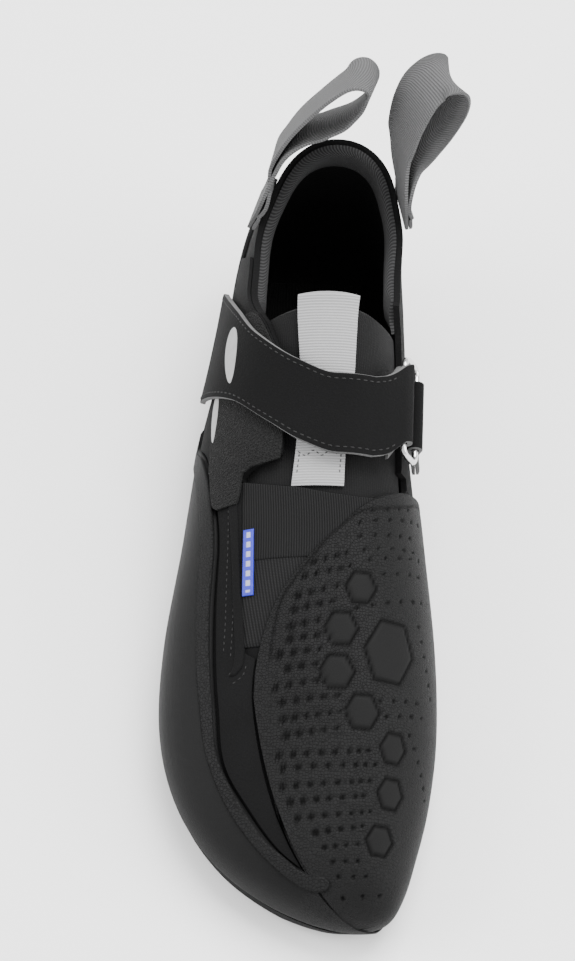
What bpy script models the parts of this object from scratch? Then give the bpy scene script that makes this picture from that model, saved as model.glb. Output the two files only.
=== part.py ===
"""A right climbing shoe with one closing strap, standing empty on its sole.

Metres, +Z up. The toe points to -Y, the heel to +Y and the inner (medial) side to +X. The origin is
on the floor, under the middle of the heel.

Every piece is worked out from one closed form, the outside of the upper. A point of that form has a
station, which runs from 0 at the toe tip, over the ball and arch, round the heel and up to the ankle,
and a girth, which runs round the foot: 0 on the ridge of the instep, 1 at the widest place of the
medial side, 2 on the medial sole edge, 3 under the middle of the foot (or at the back of the heel),
4 on the lateral sole edge, 5 at the widest place of the lateral side, and 6 on the ridge again. A
piece then lies between two heights, measured square to that form.
"""

import math

import bmesh
import bpy
import numpy as np
from mathutils import Vector

# The last
LENGTH = 0.256
BALL_WIDTH = 0.088
INSTEP_HEIGHT = 0.070
HEEL_HEIGHT = 0.084
HEEL_REST = 0.030          # from the back of the heel to the middle of its flat spot

# Thicknesses
UPPER_WALL = 0.0020
RAND = 0.0017
TOE_PATCH = 0.0015
SOLE = 0.0035
INSOLE = 0.0020
PANEL = 0.0010
PILE = 0.0010
TONGUE = 0.0020
TAB = 0.0011
STRAP = 0.0018
PADDING = 0.0028
WEBBING = 0.0012
LABEL = 0.0008

# Clearances
GAP = 0.0003               # between two pieces that touch
LAY = 0.0005               # under the strap, the tab and the insole, which lie loosely
SEAM_WIDTH = 0.00045       # between two rubber or leather edges that meet
WINDOW_CLEAR = 0.0009      # between the insole's step and the edge of the opening under the foot

# Trim
COLLAR_BAND = 0.009        # height of the padded lining under the topline
PADDING_FRONT = 0.77       # share of LENGTH behind the toe tip where that lining starts
PADDING_STATION = 9.0      # where its blank starts
LOOP_WIDTH = 0.0155
RING_WIRE = 0.0021
RING_LENGTH = 0.0360
RING_WIDTH = 0.0115
RING_CORNER = 0.0030
RING_TAIL = 0.006          # how far the strap runs back under itself past the ring
TAB_REACH = 0.020          # how far the ring tab runs down from the ring

# The upper's form stands this far above the floor where the sole lies flat. The sole is ground down
# a little there, which makes its two flat spots.
GRIND = 0.0008
STACK = SOLE + GAP + RAND + GAP - GRIND
SEAM = SEAM_WIDTH / (BALL_WIDTH / 2)    # the girth of such a seam

# The opening under the foot, and the insole board over it
WINDOW_START = 1.94
WINDOW_END = 10.40
WINDOW_MARGIN = 0.44       # girth that the upper is turned in under the foot on each side
BOARD_START = 1.4
BOARD_END = 10.9
BOARD_EDGES = (2.15, 3.85)
STEP_SLOPE = 0.0004        # how far the wall of the insole's step leans
STEP_STATIONS = 0.03

# How the form is worked out and cut
ARC_STEPS = 20             # points along a corner of a section
SECTION_CACHE = {}
NEAR_TIP = 0.05
PROBE = 0.02               # step, in stations and girths, over which the form's direction is read
REACH = 0.006              # how far a cutter stands clear of the layer that it cuts
BLANK = 0.4                # stations that a piece's blank runs past the cutter that trims it
ROW_SPACE = 0.1            # the least that a row lies from the end of a blank, in stations

# Sections of the last, from the toe tip to the ankle. Each is an outline in a plane across the foot.
# sole_back and top_back are the places of its lowest and highest point, in shares of LENGTH behind
# the toe tip. lift is the lowest point's height in shares of HEEL_HEIGHT, top the highest point's in
# shares of INSTEP_HEIGHT, both above the flat sole. lateral, medial and ridge are the places of the
# two widest points and the highest one, in shares of BALL_WIDTH. widest is how far up the section
# those widest points lie. flat and crown are the fullness of its lower and upper corners, where 2
# is an ellipse and a larger number is squarer.
SECTION_COLUMNS = (
    "sole_back", "lift", "top_back", "top", "lateral", "medial", "ridge", "widest", "flat", "crown",
)
SECTIONS = (
    (0.000, 0.130, 0.000, 0.150, 0.150, 0.150, 0.150, 0.50, 2.2, 2.2),
    (0.010, 0.050, 0.010, 0.245, 0.010, 0.245, 0.145, 0.46, 2.6, 2.2),
    (0.040, 0.012, 0.040, 0.335, -0.175, 0.298, 0.140, 0.40, 4.0, 2.2),
    (0.090, 0.002, 0.090, 0.400, -0.350, 0.342, 0.130, 0.34, 7.0, 2.2),
    (0.160, 0.000, 0.160, 0.470, -0.480, 0.390, 0.110, 0.30, 9.0, 2.2),
    (0.250, 0.004, 0.250, 0.560, -0.545, 0.420, 0.090, 0.27, 9.0, 2.2),
    (0.360, 0.030, 0.360, 0.660, -0.540, 0.415, 0.070, 0.25, 8.0, 2.2),
    (0.490, 0.095, 0.490, 0.785, -0.485, 0.375, 0.040, 0.24, 7.0, 2.2),
    (0.640, 0.100, 0.625, 0.970, -0.430, 0.332, 0.020, 0.23, 6.0, 2.2),
    (0.770, 0.020, 0.710, 1.150, -0.370, 0.325, 0.000, 0.24, 5.0, 2.2),
    (0.875, 0.000, 0.742, 1.270, -0.330, 0.315, 0.000, 0.26, 4.0, 2.2),
    (0.962, 0.060, 0.754, 1.330, -0.300, 0.300, 0.000, 0.32, 3.0, 2.2),
    (1.000, 0.340, 0.762, 1.360, -0.266, 0.284, 0.000, 0.44, 2.3, 2.2),
    (0.990, 0.660, 0.768, 1.390, -0.228, 0.262, 0.000, 0.52, 2.2, 2.2),
    (0.968, 0.980, 0.774, 1.420, -0.205, 0.252, 0.000, 0.55, 2.1, 2.2),
    (0.955, 1.280, 0.780, 1.480, -0.195, 0.250, 0.000, 0.55, 2.1, 2.2),
)
ANKLE = len(SECTIONS) - 1
SOLE_CORNER = 2.6          # fullness that the lower corners have along their height

# Where the solids take their rows and columns from that form
STATIONS = (
    0.0, 0.4, 0.9, 1.4, 1.9, 2.4, 3.0, 3.6, 4.2, 4.7, 5.2, 5.7, 6.15, 6.6, 7.05, 7.5, 8.0, 8.5, 9.0,
    9.5, 10.0, 10.45, 10.9, 11.35, 11.8, 12.3, 12.9, 13.5, 14.2, 15.0,
)
GIRTHS = (
    0.0, 0.35, 0.7, 1.05, 1.4, 1.7, 1.92, 2.15, 2.4, 3.0, 3.6, 3.85, 4.08, 4.3, 4.6, 4.95, 5.3,
    5.65, 6.0,
)
SOLE_GIRTHS = (1.90, 2.0, 2.15, 2.4, 3.0, 3.6, 3.85, 4.0, 4.10)

# The rubber that is lasted round the upper: the girth of its medial and of its lateral edge. The
# rand is the front part, and the heel cup the back part.
RUBBER_COLUMNS = ("station", "medial", "lateral")
RUBBER = (
    (2.20, 2.00, 5.53),
    (2.70, 2.00, 5.45),
    (3.50, 2.00, 5.40),
    (4.20, 2.00, 5.36),
    (5.00, 2.00, 5.39),
    (6.60, 2.00, 5.40),
    (7.30, 2.00, 5.35),
    (7.66, 2.00, 5.25),
    (7.95, 1.78, 5.05),
    (8.30, 1.64, 4.86),
    (9.00, 1.55, 4.68),
    (10.00, 1.42, 4.60),
    (11.00, 1.38, 4.62),
    (12.00, 1.52, 4.48),
    (12.90, 1.85, 4.15),
)
RAND_START = 0.72
RAND_TURN = (2.3, 2.6)     # stations between which the rand's edge leaves the toe patch
RAND_END = 8.30            # station where the rand stops and the heel cup starts
CUP_START = 8.32
OUTSOLE_STATIONS = (0.90, 7.75)
HEEL_SOLE_STATIONS = (8.75, 11.35)

# How far back the toe patch reaches at each girth, once round the foot from its medial sole edge
PATCH_COLUMNS = ("girth", "station")
PATCH_EDGE = (
    (2.000, 0.60),
    (4.000, 0.60),
    (4.600, 0.92),
    (5.250, 1.42),
    (5.480, 1.82),
    (5.552, 2.10),
    (5.562, 3.50),
    (5.575, 5.00),
    (5.600, 5.42),
    (5.635, 5.75),
    (5.700, 6.10),
    (5.810, 6.42),
    (6.000, 6.80),
    (6.280, 7.14),
    (6.620, 7.33),
    (7.000, 7.44),
    (7.600, 7.52),
    (8.000, 7.56),
)

PATCH_UNDER = (2.5, 3.0, 3.5, 4.3)      # girths of its further rows, under the toes

# The lateral suede panel's edge beside the vamp, where the toe patch doesn't stop it sooner
PANEL_COLUMNS = ("station", "edge")
PANEL_EDGE = (
    (2.25, 5.600),
    (5.45, 5.600),
    (5.60, 5.530),
    (7.28, 5.530),
    (7.42, 6.100),
    (11.20, 6.100),
)
PANEL_END = 11.20
PANEL_TURN = (5.25, 5.45)  # stations between which its edge leaves the vamp's
PANEL_TOP = (7.60, 7.90)   # stations between which it reaches the throat

# The topline seen from the side, in shares of LENGTH behind the toe tip and of HEEL_HEIGHT
COLLAR_COLUMNS = ("back", "height")
COLLAR_LINE = (
    (0.660, 1.100),
    (0.690, 1.010),
    (0.715, 0.930),
    (0.750, 0.830),
    (0.800, 0.765),
    (0.850, 0.770),
    (0.900, 0.860),
    (0.950, 1.020),
    (1.000, 1.125),
    (1.060, 1.165),
)

# The throat: its lateral edge, along the flap, and its medial edge
THROAT_COLUMNS = ("station", "lateral", "medial")
THROAT = (
    (7.39, -0.270, 0.480),
    (7.60, -0.250, 0.510),
    (8.00, -0.250, 0.540),
    (8.40, -0.245, 0.550),
    (8.70, -0.280, 0.550),
    (9.00, -0.320, 0.540),
    (9.25, -0.370, 0.530),
    (9.60, -0.420, 0.500),
    (10.00, -0.440, 0.470),
)

# The vamp's hem across the front of the throat, and the back of the slot in front of the flap
HEM_COLUMNS = ("girth", "front", "back")
HEM = (
    (-0.47, 7.27, 7.31),
    (-0.42, 7.24, 7.37),
    (-0.30, 7.19, 7.43),
    (-0.20, 7.16, 7.46),
    (0.00, 7.10, 7.46),
    (0.12, 7.09, 7.46),
    (0.25, 7.11, 7.46),
    (0.38, 7.17, 7.46),
    (0.50, 7.26, 7.46),
    (0.57, 7.36, 7.46),
)

# The tongue's two edges, and those of the webbing tab on it
TONGUE_COLUMNS = ("station", "lateral", "medial")
TONGUE_EDGES = (
    (6.85, -0.56, 0.52),
    (7.60, -0.56, 0.56),
    (8.50, -0.54, 0.56),
    (9.00, -0.50, 0.53),
    (9.12, -0.48, 0.51),
)
TAB_COLUMNS = ("station", "lateral", "medial")
TAB_EDGES = (
    (7.17, -0.225, 0.045),
    (7.60, -0.190, 0.065),
    (8.30, -0.160, 0.115),
    (9.42, -0.155, 0.125),
)

# The small blue label beside the throat
LABEL_COLUMNS = ("station", "lateral", "medial")
LABEL_EDGES = (
    (6.16, -0.456, -0.405),
    (6.80, -0.456, -0.405),
)

# The fuzzy closing patch on the lateral quarter
PILE_COLUMNS = ("station", "lateral", "medial")
PILE_EDGES = (
    (7.06, -0.600, -0.490),
    (7.11, -0.628, -0.478),
    (7.34, -0.650, -0.450),
    (7.50, -0.665, 0.100),
    (8.40, -0.700, 0.100),
    (9.30, -0.820, 0.100),
)

# The strap from its free end on the lateral side to its fold at the ring: the girth, and the
# stations of its front and back edges
STRAP_COLUMNS = ("girth", "front", "back")
STRAP_EDGES = (
    (-1.02, 8.72, 10.20),
    (-0.98, 8.56, 10.42),
    (-0.80, 8.36, 10.22),
    (-0.62, 8.18, 9.86),
    (-0.48, 8.02, 9.42),
    (-0.32, 7.74, 8.78),
    (-0.16, 7.52, 8.36),
    (0.00, 7.42, 8.18),
    (0.24, 7.42, 8.20),
    (0.42, 7.66, 8.38),
)
STRAP_SHARES = (0.0, 0.2, 0.4, 0.6, 0.8, 1.0)
# How the strap rises to the ring: the distance before its bar, and the share of the rise
STRAP_RISE = ((0.012, 0.0), (0.009, 0.12), (0.006, 0.36), (0.003, 0.74))
RING_GIRTH = 0.385         # where the strap's bar of the ring lies
RING_STATION = 8.03
TAB_SHARES = (-1.0, -0.5, 0.0, 0.5, 1.0)
TAB_INSET = 0.002          # the tab is this much narrower than the ring's bar at each end
TAB_RISE = 0.008           # distance past the bar where the tab leaves the quarter

# The pull loops. Both ends of each are sewn one over the other to the outside of the collar, where
# the rows are stations and girths of their middle. In between it runs free, over its top and back:
# side, back and height are in shares of BALL_WIDTH, LENGTH and HEEL_HEIGHT, and the across columns
# give the direction of the webbing's width.
LOOP_ROWS = 1.5            # rows of a loop for each of its points
LOOP_COLUMNS = ("side", "back", "height", "across_side", "across_back", "across_height")
LATERAL_SEWN = ((12.42, 4.74), (12.80, 4.67), (13.20, 4.60))
LATERAL_LOOP = (
    (-0.222, 0.934, 1.055, 0.18, 0.95, -0.25),
    (-0.191, 0.941, 1.149, 0.22, 0.94, -0.25),
    (-0.146, 0.947, 1.244, 0.24, 0.94, -0.25),
    (-0.086, 0.953, 1.332, 0.27, 0.93, -0.25),
    (-0.019, 0.959, 1.415, 0.28, 0.93, -0.25),
    (0.039, 0.965, 1.458, 0.29, 0.92, -0.25),
    (0.088, 0.969, 1.447, 0.30, 0.92, -0.25),
    (0.115, 0.969, 1.387, 0.29, 0.92, -0.25),
    (0.099, 0.965, 1.320, 0.28, 0.93, -0.25),
    (0.046, 0.959, 1.251, 0.27, 0.93, -0.25),
    (-0.036, 0.951, 1.212, 0.24, 0.94, -0.25),
    (-0.116, 0.943, 1.185, 0.22, 0.94, -0.25),
    (-0.175, 0.934, 1.137, 0.18, 0.95, -0.25),
    (-0.210, 0.926, 1.056, 0.15, 0.96, -0.25),
)
MEDIAL_SEWN = ((12.75, 1.32), (13.10, 1.36), (13.45, 1.40))
MEDIAL_LOOP = (
    (0.244, 0.930, 1.115, -0.30, 0.95, 0.10),
    (0.240, 0.938, 1.207, -0.44, 0.87, 0.24),
    (0.253, 0.945, 1.323, -0.50, 0.80, 0.32),
    (0.286, 0.955, 1.431, -0.55, 0.75, 0.37),
    (0.333, 0.963, 1.485, -0.58, 0.71, 0.40),
    (0.377, 0.967, 1.485, -0.59, 0.70, 0.41),
    (0.406, 0.965, 1.446, -0.58, 0.71, 0.40),
    (0.403, 0.959, 1.376, -0.55, 0.75, 0.37),
    (0.368, 0.949, 1.286, -0.50, 0.80, 0.32),
    (0.322, 0.938, 1.201, -0.44, 0.87, 0.24),
    (0.286, 0.928, 1.115, -0.30, 0.95, 0.10),
)


def back_to_y(back):
    """Y of a place that lies this share of LENGTH behind the toe tip."""
    return back * LENGTH - LENGTH + HEEL_REST


def smooth(keys, values, at):
    """A soft curve through a table's values that doesn't overshoot them."""
    keys = np.asarray(keys, float)
    values = np.asarray(values, float)
    steps = np.diff(keys)
    slopes = np.diff(values) / steps
    tangents = np.zeros(len(keys))
    for i in range(1, len(keys) - 1):
        if slopes[i - 1] * slopes[i] > 0:
            tangents[i] = 2 / (1 / slopes[i - 1] + 1 / slopes[i])
    tangents[0] = slopes[0]
    tangents[-1] = slopes[-1]
    at = min(max(at, keys[0]), keys[-1])
    i = min(int(np.searchsorted(keys, at, side="right")) - 1, len(keys) - 2)
    t = (at - keys[i]) / steps[i]
    start = (1 + 2 * t) * (1 - t) ** 2 * values[i] + t * t * (3 - 2 * t) * values[i + 1]
    bend = t * (1 - t) ** 2 * tangents[i] - t * t * (1 - t) * tangents[i + 1]
    return float(start + bend * steps[i])


def read(table, columns, name, at):
    """One column of a table, at a value of its first column."""
    return smooth([row[0] for row in table], [row[columns.index(name)] for row in table], at)


def section_row(index):
    """A row of the section table, mirrored past the toe tip so that the toe closes round."""
    if index >= 0:
        return SECTIONS[min(index, ANKLE)]
    sole_back, lift, top_back, top, lateral, medial, ridge, widest, flat, crown = SECTIONS[-index]
    turned_lift = top * INSTEP_HEIGHT / HEEL_HEIGHT
    turned_top = lift * HEEL_HEIGHT / INSTEP_HEIGHT
    return (top_back, turned_lift, sole_back, turned_top, medial, lateral, ridge, widest, flat, crown)


def section_values(station):
    """The section table's columns at any station, on a smooth curve through its rows."""
    station = min(max(station, 0.0), float(ANKLE))
    index = min(int(station), ANKLE - 1)
    t = station - index
    before, start, end, after = (np.array(section_row(index + k), float) for k in (-1, 0, 1, 2))
    if index + 2 > ANKLE:
        after = 2 * end - start
    flat_part = 2 * start + (end - before) * t
    bent_part = (2 * before - 5 * start + 4 * end - after) * t ** 2
    turned_part = (3 * start - before - 3 * end + after) * t ** 3
    return dict(zip(SECTION_COLUMNS, 0.5 * (flat_part + bent_part + turned_part)))


def corner_arc(side, middle, low, high, fullness, fullness_up):
    """A quarter of a section: from the widest point at one side to its top or bottom."""
    angles = np.linspace(0, math.pi / 2, 2 * ARC_STEPS + 1)
    places = middle + (side - middle) * np.cos(angles) ** (2 / fullness)
    heights = low + (high - low) * np.sin(angles) ** (2 / fullness_up)
    return places, heights


def section_spans(station):
    """The six spans of a section, each as points and their share of the span's length."""
    key = round(station, 5)
    if key in SECTION_CACHE:
        return SECTION_CACHE[key]
    form = section_values(station)
    low = Vector((0, back_to_y(form["sole_back"]), STACK + form["lift"] * HEEL_HEIGHT))
    high = Vector((0, back_to_y(form["top_back"]), STACK + form["top"] * INSTEP_HEIGHT))
    ridge = form["ridge"] * BALL_WIDTH
    centre = (form["lateral"] + form["medial"]) / 2 * BALL_WIDTH
    sides = []
    for name in ("medial", "lateral"):
        side = form[name] * BALL_WIDTH
        xs, hs = corner_arc(side, ridge, form["widest"], 1.0, form["crown"], form["crown"])
        top = (xs[::-1], hs[::-1])
        xs, hs = corner_arc(side, centre, form["widest"], 0.0, form["flat"], SOLE_CORNER)
        edge = (xs[:ARC_STEPS + 1], hs[:ARC_STEPS + 1])
        under = (xs[ARC_STEPS:], hs[ARC_STEPS:])
        sides.append((top, edge, under))
    back_again = [(xs[::-1], hs[::-1]) for xs, hs in reversed(sides[1])]
    spans = []
    for xs, hs in (*sides[0], *back_again):
        ys = low.y + (high.y - low.y) * hs
        zs = low.z + (high.z - low.z) * hs
        points = np.stack([xs, ys, zs], 1)
        lengths = np.linalg.norm(np.diff(points, axis=0), axis=1)
        shares = np.concatenate([[0], np.cumsum(lengths)])
        shares = shares / shares[-1] if shares[-1] > 0 else np.linspace(0, 1, len(shares))
        spans.append((shares, points))
    SECTION_CACHE[key] = spans
    return spans


def form_point(station, girth):
    """A point of the upper's outer form."""
    girth = girth % 6.0
    span = min(int(girth), 5)
    shares, points = section_spans(station)[span]
    return Vector([float(np.interp(girth - span, shares, points[:, axis])) for axis in range(3)])


TOE_TIP = sum((form_point(0.0, girth) for girth in range(6)), Vector()) / 6


def form_normal(station, girth):
    """The direction square to the form, pointing out of the shoe."""
    if station < NEAR_TIP:
        return Vector((0, -1, 0))
    ahead = form_point(min(station + PROBE, ANKLE), girth)
    behind = form_point(max(station - PROBE, NEAR_TIP / 2), girth)
    right = form_point(station, girth + PROBE) - form_point(station, girth - PROBE)
    return right.cross(ahead - behind).normalized()


def lifted(station, girth, height):
    """A point at this height above the form."""
    if station < NEAR_TIP:
        return TOE_TIP + form_normal(0.0, girth) * height
    return form_point(station, girth) + form_normal(station, girth) * height


def girth_length(station):
    """The length of one girth unit beside the ridge."""
    return float(np.linalg.norm(np.diff(section_spans(station)[0][1], axis=0), axis=1).sum())


def even(start, end, count):
    return [start + (end - start) * i / count for i in range(count + 1)]


def material(name, colour, roughness, metallic=0.0):
    made = bpy.data.materials.new(name)
    made.use_nodes = True
    shader = made.node_tree.nodes["Principled BSDF"]
    shader.inputs["Base Color"].default_value = (*colour, 1.0)
    shader.inputs["Roughness"].default_value = roughness
    shader.inputs["Metallic"].default_value = metallic
    made.diffuse_color = (*colour, 1.0)
    return made


def add_object(name, mesh, finish=None):
    piece = bpy.data.objects.new(name, mesh)
    bpy.context.scene.collection.objects.link(piece)
    if finish:
        mesh.materials.append(finish)
    return piece


def add_mesh(name, bm, finish=None):
    bmesh.ops.recalc_face_normals(bm, faces=bm.faces)
    mesh = bpy.data.meshes.new(name)
    bm.to_mesh(mesh)
    bm.free()
    return add_object(name, mesh, finish)


def slab(name, rows, columns, place, finish=None):
    """A curved plate: place(row, column, side) gives its inside for side 0 and its outside for 1.

    Each of its squares is split the same way, so that plates over one another stay apart.
    """
    bm = bmesh.new()
    row_layer = bm.verts.layers.int.new("row")
    column_layer = bm.verts.layers.int.new("column")
    last_row = len(rows) - 1
    last_column = len(columns) - 1
    grid = bmesh.ops.create_grid(bm, x_segments=last_column, y_segments=last_row, size=1.0)
    for vert in grid["verts"]:
        vert[row_layer] = round((vert.co.y + 1) / 2 * last_row)
        vert[column_layer] = round((vert.co.x + 1) / 2 * last_column)
        vert.co = place(rows[vert[row_layer]], columns[vert[column_layer]], 0)
    for face in bm.faces[:]:
        near, *_, far = sorted(face.verts, key=lambda corner: corner[row_layer] + corner[column_layer])
        bmesh.utils.face_split(face, near, far)
    bmesh.ops.remove_doubles(bm, verts=bm.verts, dist=1e-7)
    raised = bmesh.ops.extrude_face_region(bm, geom=bm.faces[:])
    for vert in raised["geom"]:
        if isinstance(vert, bmesh.types.BMVert):
            vert.co = place(rows[vert[row_layer]], columns[vert[column_layer]], 1)
    return add_mesh(name, bm, finish)


def layer(name, low, high, finish=None, start=0.0, end=float(ANKLE)):
    """The whole form between two heights, from one station to another, as one open sock."""
    rows = [start] + [s for s in STATIONS if start + ROW_SPACE < s < end - ROW_SPACE] + [end]

    def place(station, girth, side):
        return lifted(station, girth, high if side else low)

    return slab(name, rows, GIRTHS, place, finish)


def region(name, rows, edges, low, high, columns=10, along=False):
    """A cutter over part of the form: edges(station) gives the girths that it runs between.

    With along set, the rows are girths, and edges(girth) gives stations.
    """
    def place(row, share, side):
        first, last = edges(row)
        across = first + (last - first) * share
        return lifted(*((across, row) if along else (row, across)), high if side else low)

    return as_cutter(slab(name, rows, even(0.0, 1.0, columns), place))


def table_region(name, table, columns, low, high, row_count, column_count, along=False):
    """A cutter over the part of the form between the two edges that a table gives."""
    def edges(row):
        return read(table, columns, columns[1], row), read(table, columns, columns[2], row)

    rows = even(table[0][0], table[-1][0], row_count)
    return region(name, rows, edges, low, high, column_count, along)


def prism(name, outline):
    """A cutter with this outline, seen from the side, right across the foot."""
    bm = bmesh.new()
    bm.faces.new([bm.verts.new((-BALL_WIDTH, y, z)) for y, z in outline])
    pushed = bmesh.ops.extrude_face_region(bm, geom=bm.faces[:])
    moved = [part for part in pushed["geom"] if isinstance(part, bmesh.types.BMVert)]
    bmesh.ops.translate(bm, verts=moved, vec=(2 * BALL_WIDTH, 0, 0))
    return as_cutter(add_mesh(name, bm))


def as_cutter(piece):
    piece.hide_render = True
    piece.display_type = "WIRE"
    return piece


def cut(piece, cutter, operation="DIFFERENCE", folded=False):
    step = piece.modifiers.new(cutter.name, "BOOLEAN")
    step.operation = operation
    step.solver = "EXACT"
    step.use_self = folded
    step.object = cutter


def patch_reach(girth):
    """How far back the toe patch goes at this girth, from 2 at the medial sole edge round to 8."""
    return float(np.interp(girth, [row[0] for row in PATCH_EDGE], [row[1] for row in PATCH_EDGE]))


def patch_side(station):
    """The girth of the toe patch's edge at this station, on the lateral side and over the vamp."""
    return float(np.interp(station, [row[1] for row in PATCH_EDGE[1:]], [row[0] for row in PATCH_EDGE[1:]]))


def station_length(station):
    """The length of one station, on the front part, where their places rise as their squares."""
    return 0.02 * LENGTH * max(station, 1.0)


def rubber_edges(station):
    """The two edges of the lasted rubber, which also stays clear of the toe patch."""
    medial = read(RUBBER, RUBBER_COLUMNS, "medial", station)
    lateral = read(RUBBER, RUBBER_COLUMNS, "lateral", station)
    return medial, min(lateral, patch_side(station - SEAM_WIDTH / station_length(station)))


def collar_outline():
    """The space above the topline, seen from the side."""
    line = [(back_to_y(back), height * HEEL_HEIGHT) for back, height in COLLAR_LINE]
    ceiling = 2 * (HEEL_HEIGHT + INSTEP_HEIGHT)
    return line + [(line[-1][0], ceiling), (line[0][0], ceiling)]


def make_openings():
    """The cutters for the collar, the throat and the opening underneath."""
    collar = prism("collar_cutter", collar_outline())
    throat = table_region("throat_cutter", THROAT, THROAT_COLUMNS, -REACH, REACH, 13, 4)
    hem = table_region("hem_cutter", HEM, HEM_COLUMNS, -REACH, REACH, 11, 3, along=True)
    between = [station for station in STATIONS if WINDOW_START < station < WINDOW_END]
    rows = [WINDOW_START, *between, WINDOW_END]
    window = region("window_cutter", rows, window_edges(0.0), -REACH / 2, REACH)
    return collar, throat, hem, window


def window_edges(shrink):
    def edges(station):
        return 2 + WINDOW_MARGIN + shrink, 4 - WINDOW_MARGIN - shrink
    return edges


def make_upper(openings, finish):
    upper = layer("upper", -UPPER_WALL, 0.0, finish)
    for cutter in openings:
        cut(upper, cutter)
    return upper


def make_insole(finish):
    """The insole board: a plate over the turned-in margin, with a step that fills the opening."""
    top = -UPPER_WALL - LAY - INSOLE
    clear = WINDOW_CLEAR / girth_length(WINDOW_START)
    near = STEP_SLOPE / (BALL_WIDTH / 2)
    first, last = window_edges(clear)(WINDOW_START)
    front = WINDOW_START + STEP_STATIONS
    rear = WINDOW_END - STEP_STATIONS
    steps = (front, front + STEP_STATIONS, rear - STEP_STATIONS, rear)
    rows = sorted([*steps, *(s for s in STATIONS if BOARD_START <= s <= BOARD_END)])
    steps = (first, first + near, last - near, last)
    columns = sorted([*steps, *(g for g in GIRTHS if BOARD_EDGES[0] <= g <= BOARD_EDGES[1])])

    def place(station, girth, side):
        if not side:
            return lifted(station, girth, top)
        stepped = front < station < rear and first < girth < last
        return lifted(station, girth, -GAP if stepped else top + INSOLE)

    return slab("insole", rows, columns, place, finish)


def make_rand(finish):
    rand = layer("rand", GAP, GAP + RAND, finish, RAND_START - BLANK, RAND_END + BLANK)
    rows = [*even(RAND_START, RAND_TURN[0], 9), *even(RAND_TURN[1], RAND_END, 20)]
    cut(rand, region("rand_cutter", rows, rubber_edges, -REACH / 2, REACH), "INTERSECT")
    return rand


def make_heel_cup(finish):
    cup = layer("heel_cup", GAP, GAP + RAND, finish, CUP_START - BLANK, RUBBER[-1][0] + BLANK)
    rows = even(CUP_START, RUBBER[-1][0], 18)
    cut(cup, region("heel_cup_cutter", rows, rubber_edges, -REACH / 2, REACH), "INTERSECT")
    return cup


def make_toe_patch(finish):
    """The moulded patch over the toes, cut to its outline all round the toe tip."""
    patch = layer("toe_patch", GAP, GAP + TOE_PATCH, finish, 0.0, PATCH_EDGE[-1][1] + BLANK)
    girths = [row[0] for row in PATCH_EDGE]
    halfway = [(a + b) / 2 for a, b in zip(girths, girths[1:]) if a > PATCH_UNDER[-1]]
    rows = sorted([*girths, *halfway, *PATCH_UNDER])
    rows[-1] -= SEAM

    def place(girth, share, side):
        return lifted(share * patch_reach(girth), girth, REACH if side else -REACH / 2)

    outline = as_cutter(slab("patch_cutter", rows, even(0.0, 1.0, 14), place))
    cut(patch, outline, "INTERSECT", folded=True)
    return patch


def make_sole(name, start, end, finish):
    """A sole plate: it follows the rand above, and is cut flat where it meets the floor."""
    rows = [start] + [s for s in STATIONS if start + ROW_SPACE < s < end - ROW_SPACE] + [end]

    def place(station, girth, side):
        point = lifted(station, girth, GAP + RAND + GAP)
        if side:
            return point
        return Vector((point.x, point.y, max(point.z - SOLE, 0.0)))

    return slab(name, rows, SOLE_GIRTHS, place, finish)


def make_panel(openings, finish):
    low = GAP
    panel = layer("lateral_panel", low, low + PANEL, finish, PANEL_EDGE[0][0] - BLANK, PANEL_END + BLANK)

    def edges(station):
        edge = read(PANEL_EDGE, PANEL_COLUMNS, "edge", station)
        return rubber_edges(station)[1] + 2 * SEAM, min(edge, patch_side(station) - SEAM)

    for cutter in openings[:3]:
        cut(panel, cutter)
    rows = even(PANEL_EDGE[0][0], PANEL_TURN[0], 10)
    rows += even(PANEL_TURN[1], PANEL_TOP[0], 14)
    rows += even(PANEL_TOP[1], PANEL_END, 10)
    cut(panel, region("panel_cutter", rows, edges, -REACH / 2, REACH), "INTERSECT")
    return panel


def make_pile(openings, finish):
    low = GAP + PANEL + GAP
    pile = layer("pile_patch", low, low + PILE, finish, PILE_EDGES[0][0] - BLANK, PILE_EDGES[-1][0] + BLANK)

    for cutter in openings[:2]:
        cut(pile, cutter)
    outline = table_region("pile_cutter", PILE_EDGES, PILE_COLUMNS, -REACH / 2, REACH, 20, 8)
    cut(pile, outline, "INTERSECT")
    return pile


def edged_plate(name, table, columns, row_count, column_count, low, high, finish):
    """A plate between two heights whose sides follow a table of stations and edges."""
    def place(station, share, side):
        lateral = read(table, columns, "lateral", station)
        medial = read(table, columns, "medial", station)
        return lifted(station, lateral + (medial - lateral) * share, high if side else low)

    rows = even(table[0][0], table[-1][0], row_count)
    return slab(name, rows, even(0.0, 1.0, column_count), place, finish)


def make_tongue(finish):
    high = -UPPER_WALL - GAP
    start = TONGUE_EDGES[0][0] - BLANK
    end = TONGUE_EDGES[-1][0] + BLANK
    tongue = layer("tongue", high - TONGUE, high, finish, start, end)
    outline = table_region("tongue_cutter", TONGUE_EDGES, TONGUE_COLUMNS, -REACH, REACH, 14, 6)
    cut(tongue, outline, "INTERSECT")
    return tongue


def make_tongue_tab(finish):
    low = GAP - UPPER_WALL
    return edged_plate("tongue_tab", TAB_EDGES, TAB_COLUMNS, 9, 3, low, low + TAB, finish)


def make_label(finish):
    return edged_plate("label", LABEL_EDGES, LABEL_COLUMNS, 3, 1, GAP, GAP + LABEL, finish)


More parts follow.
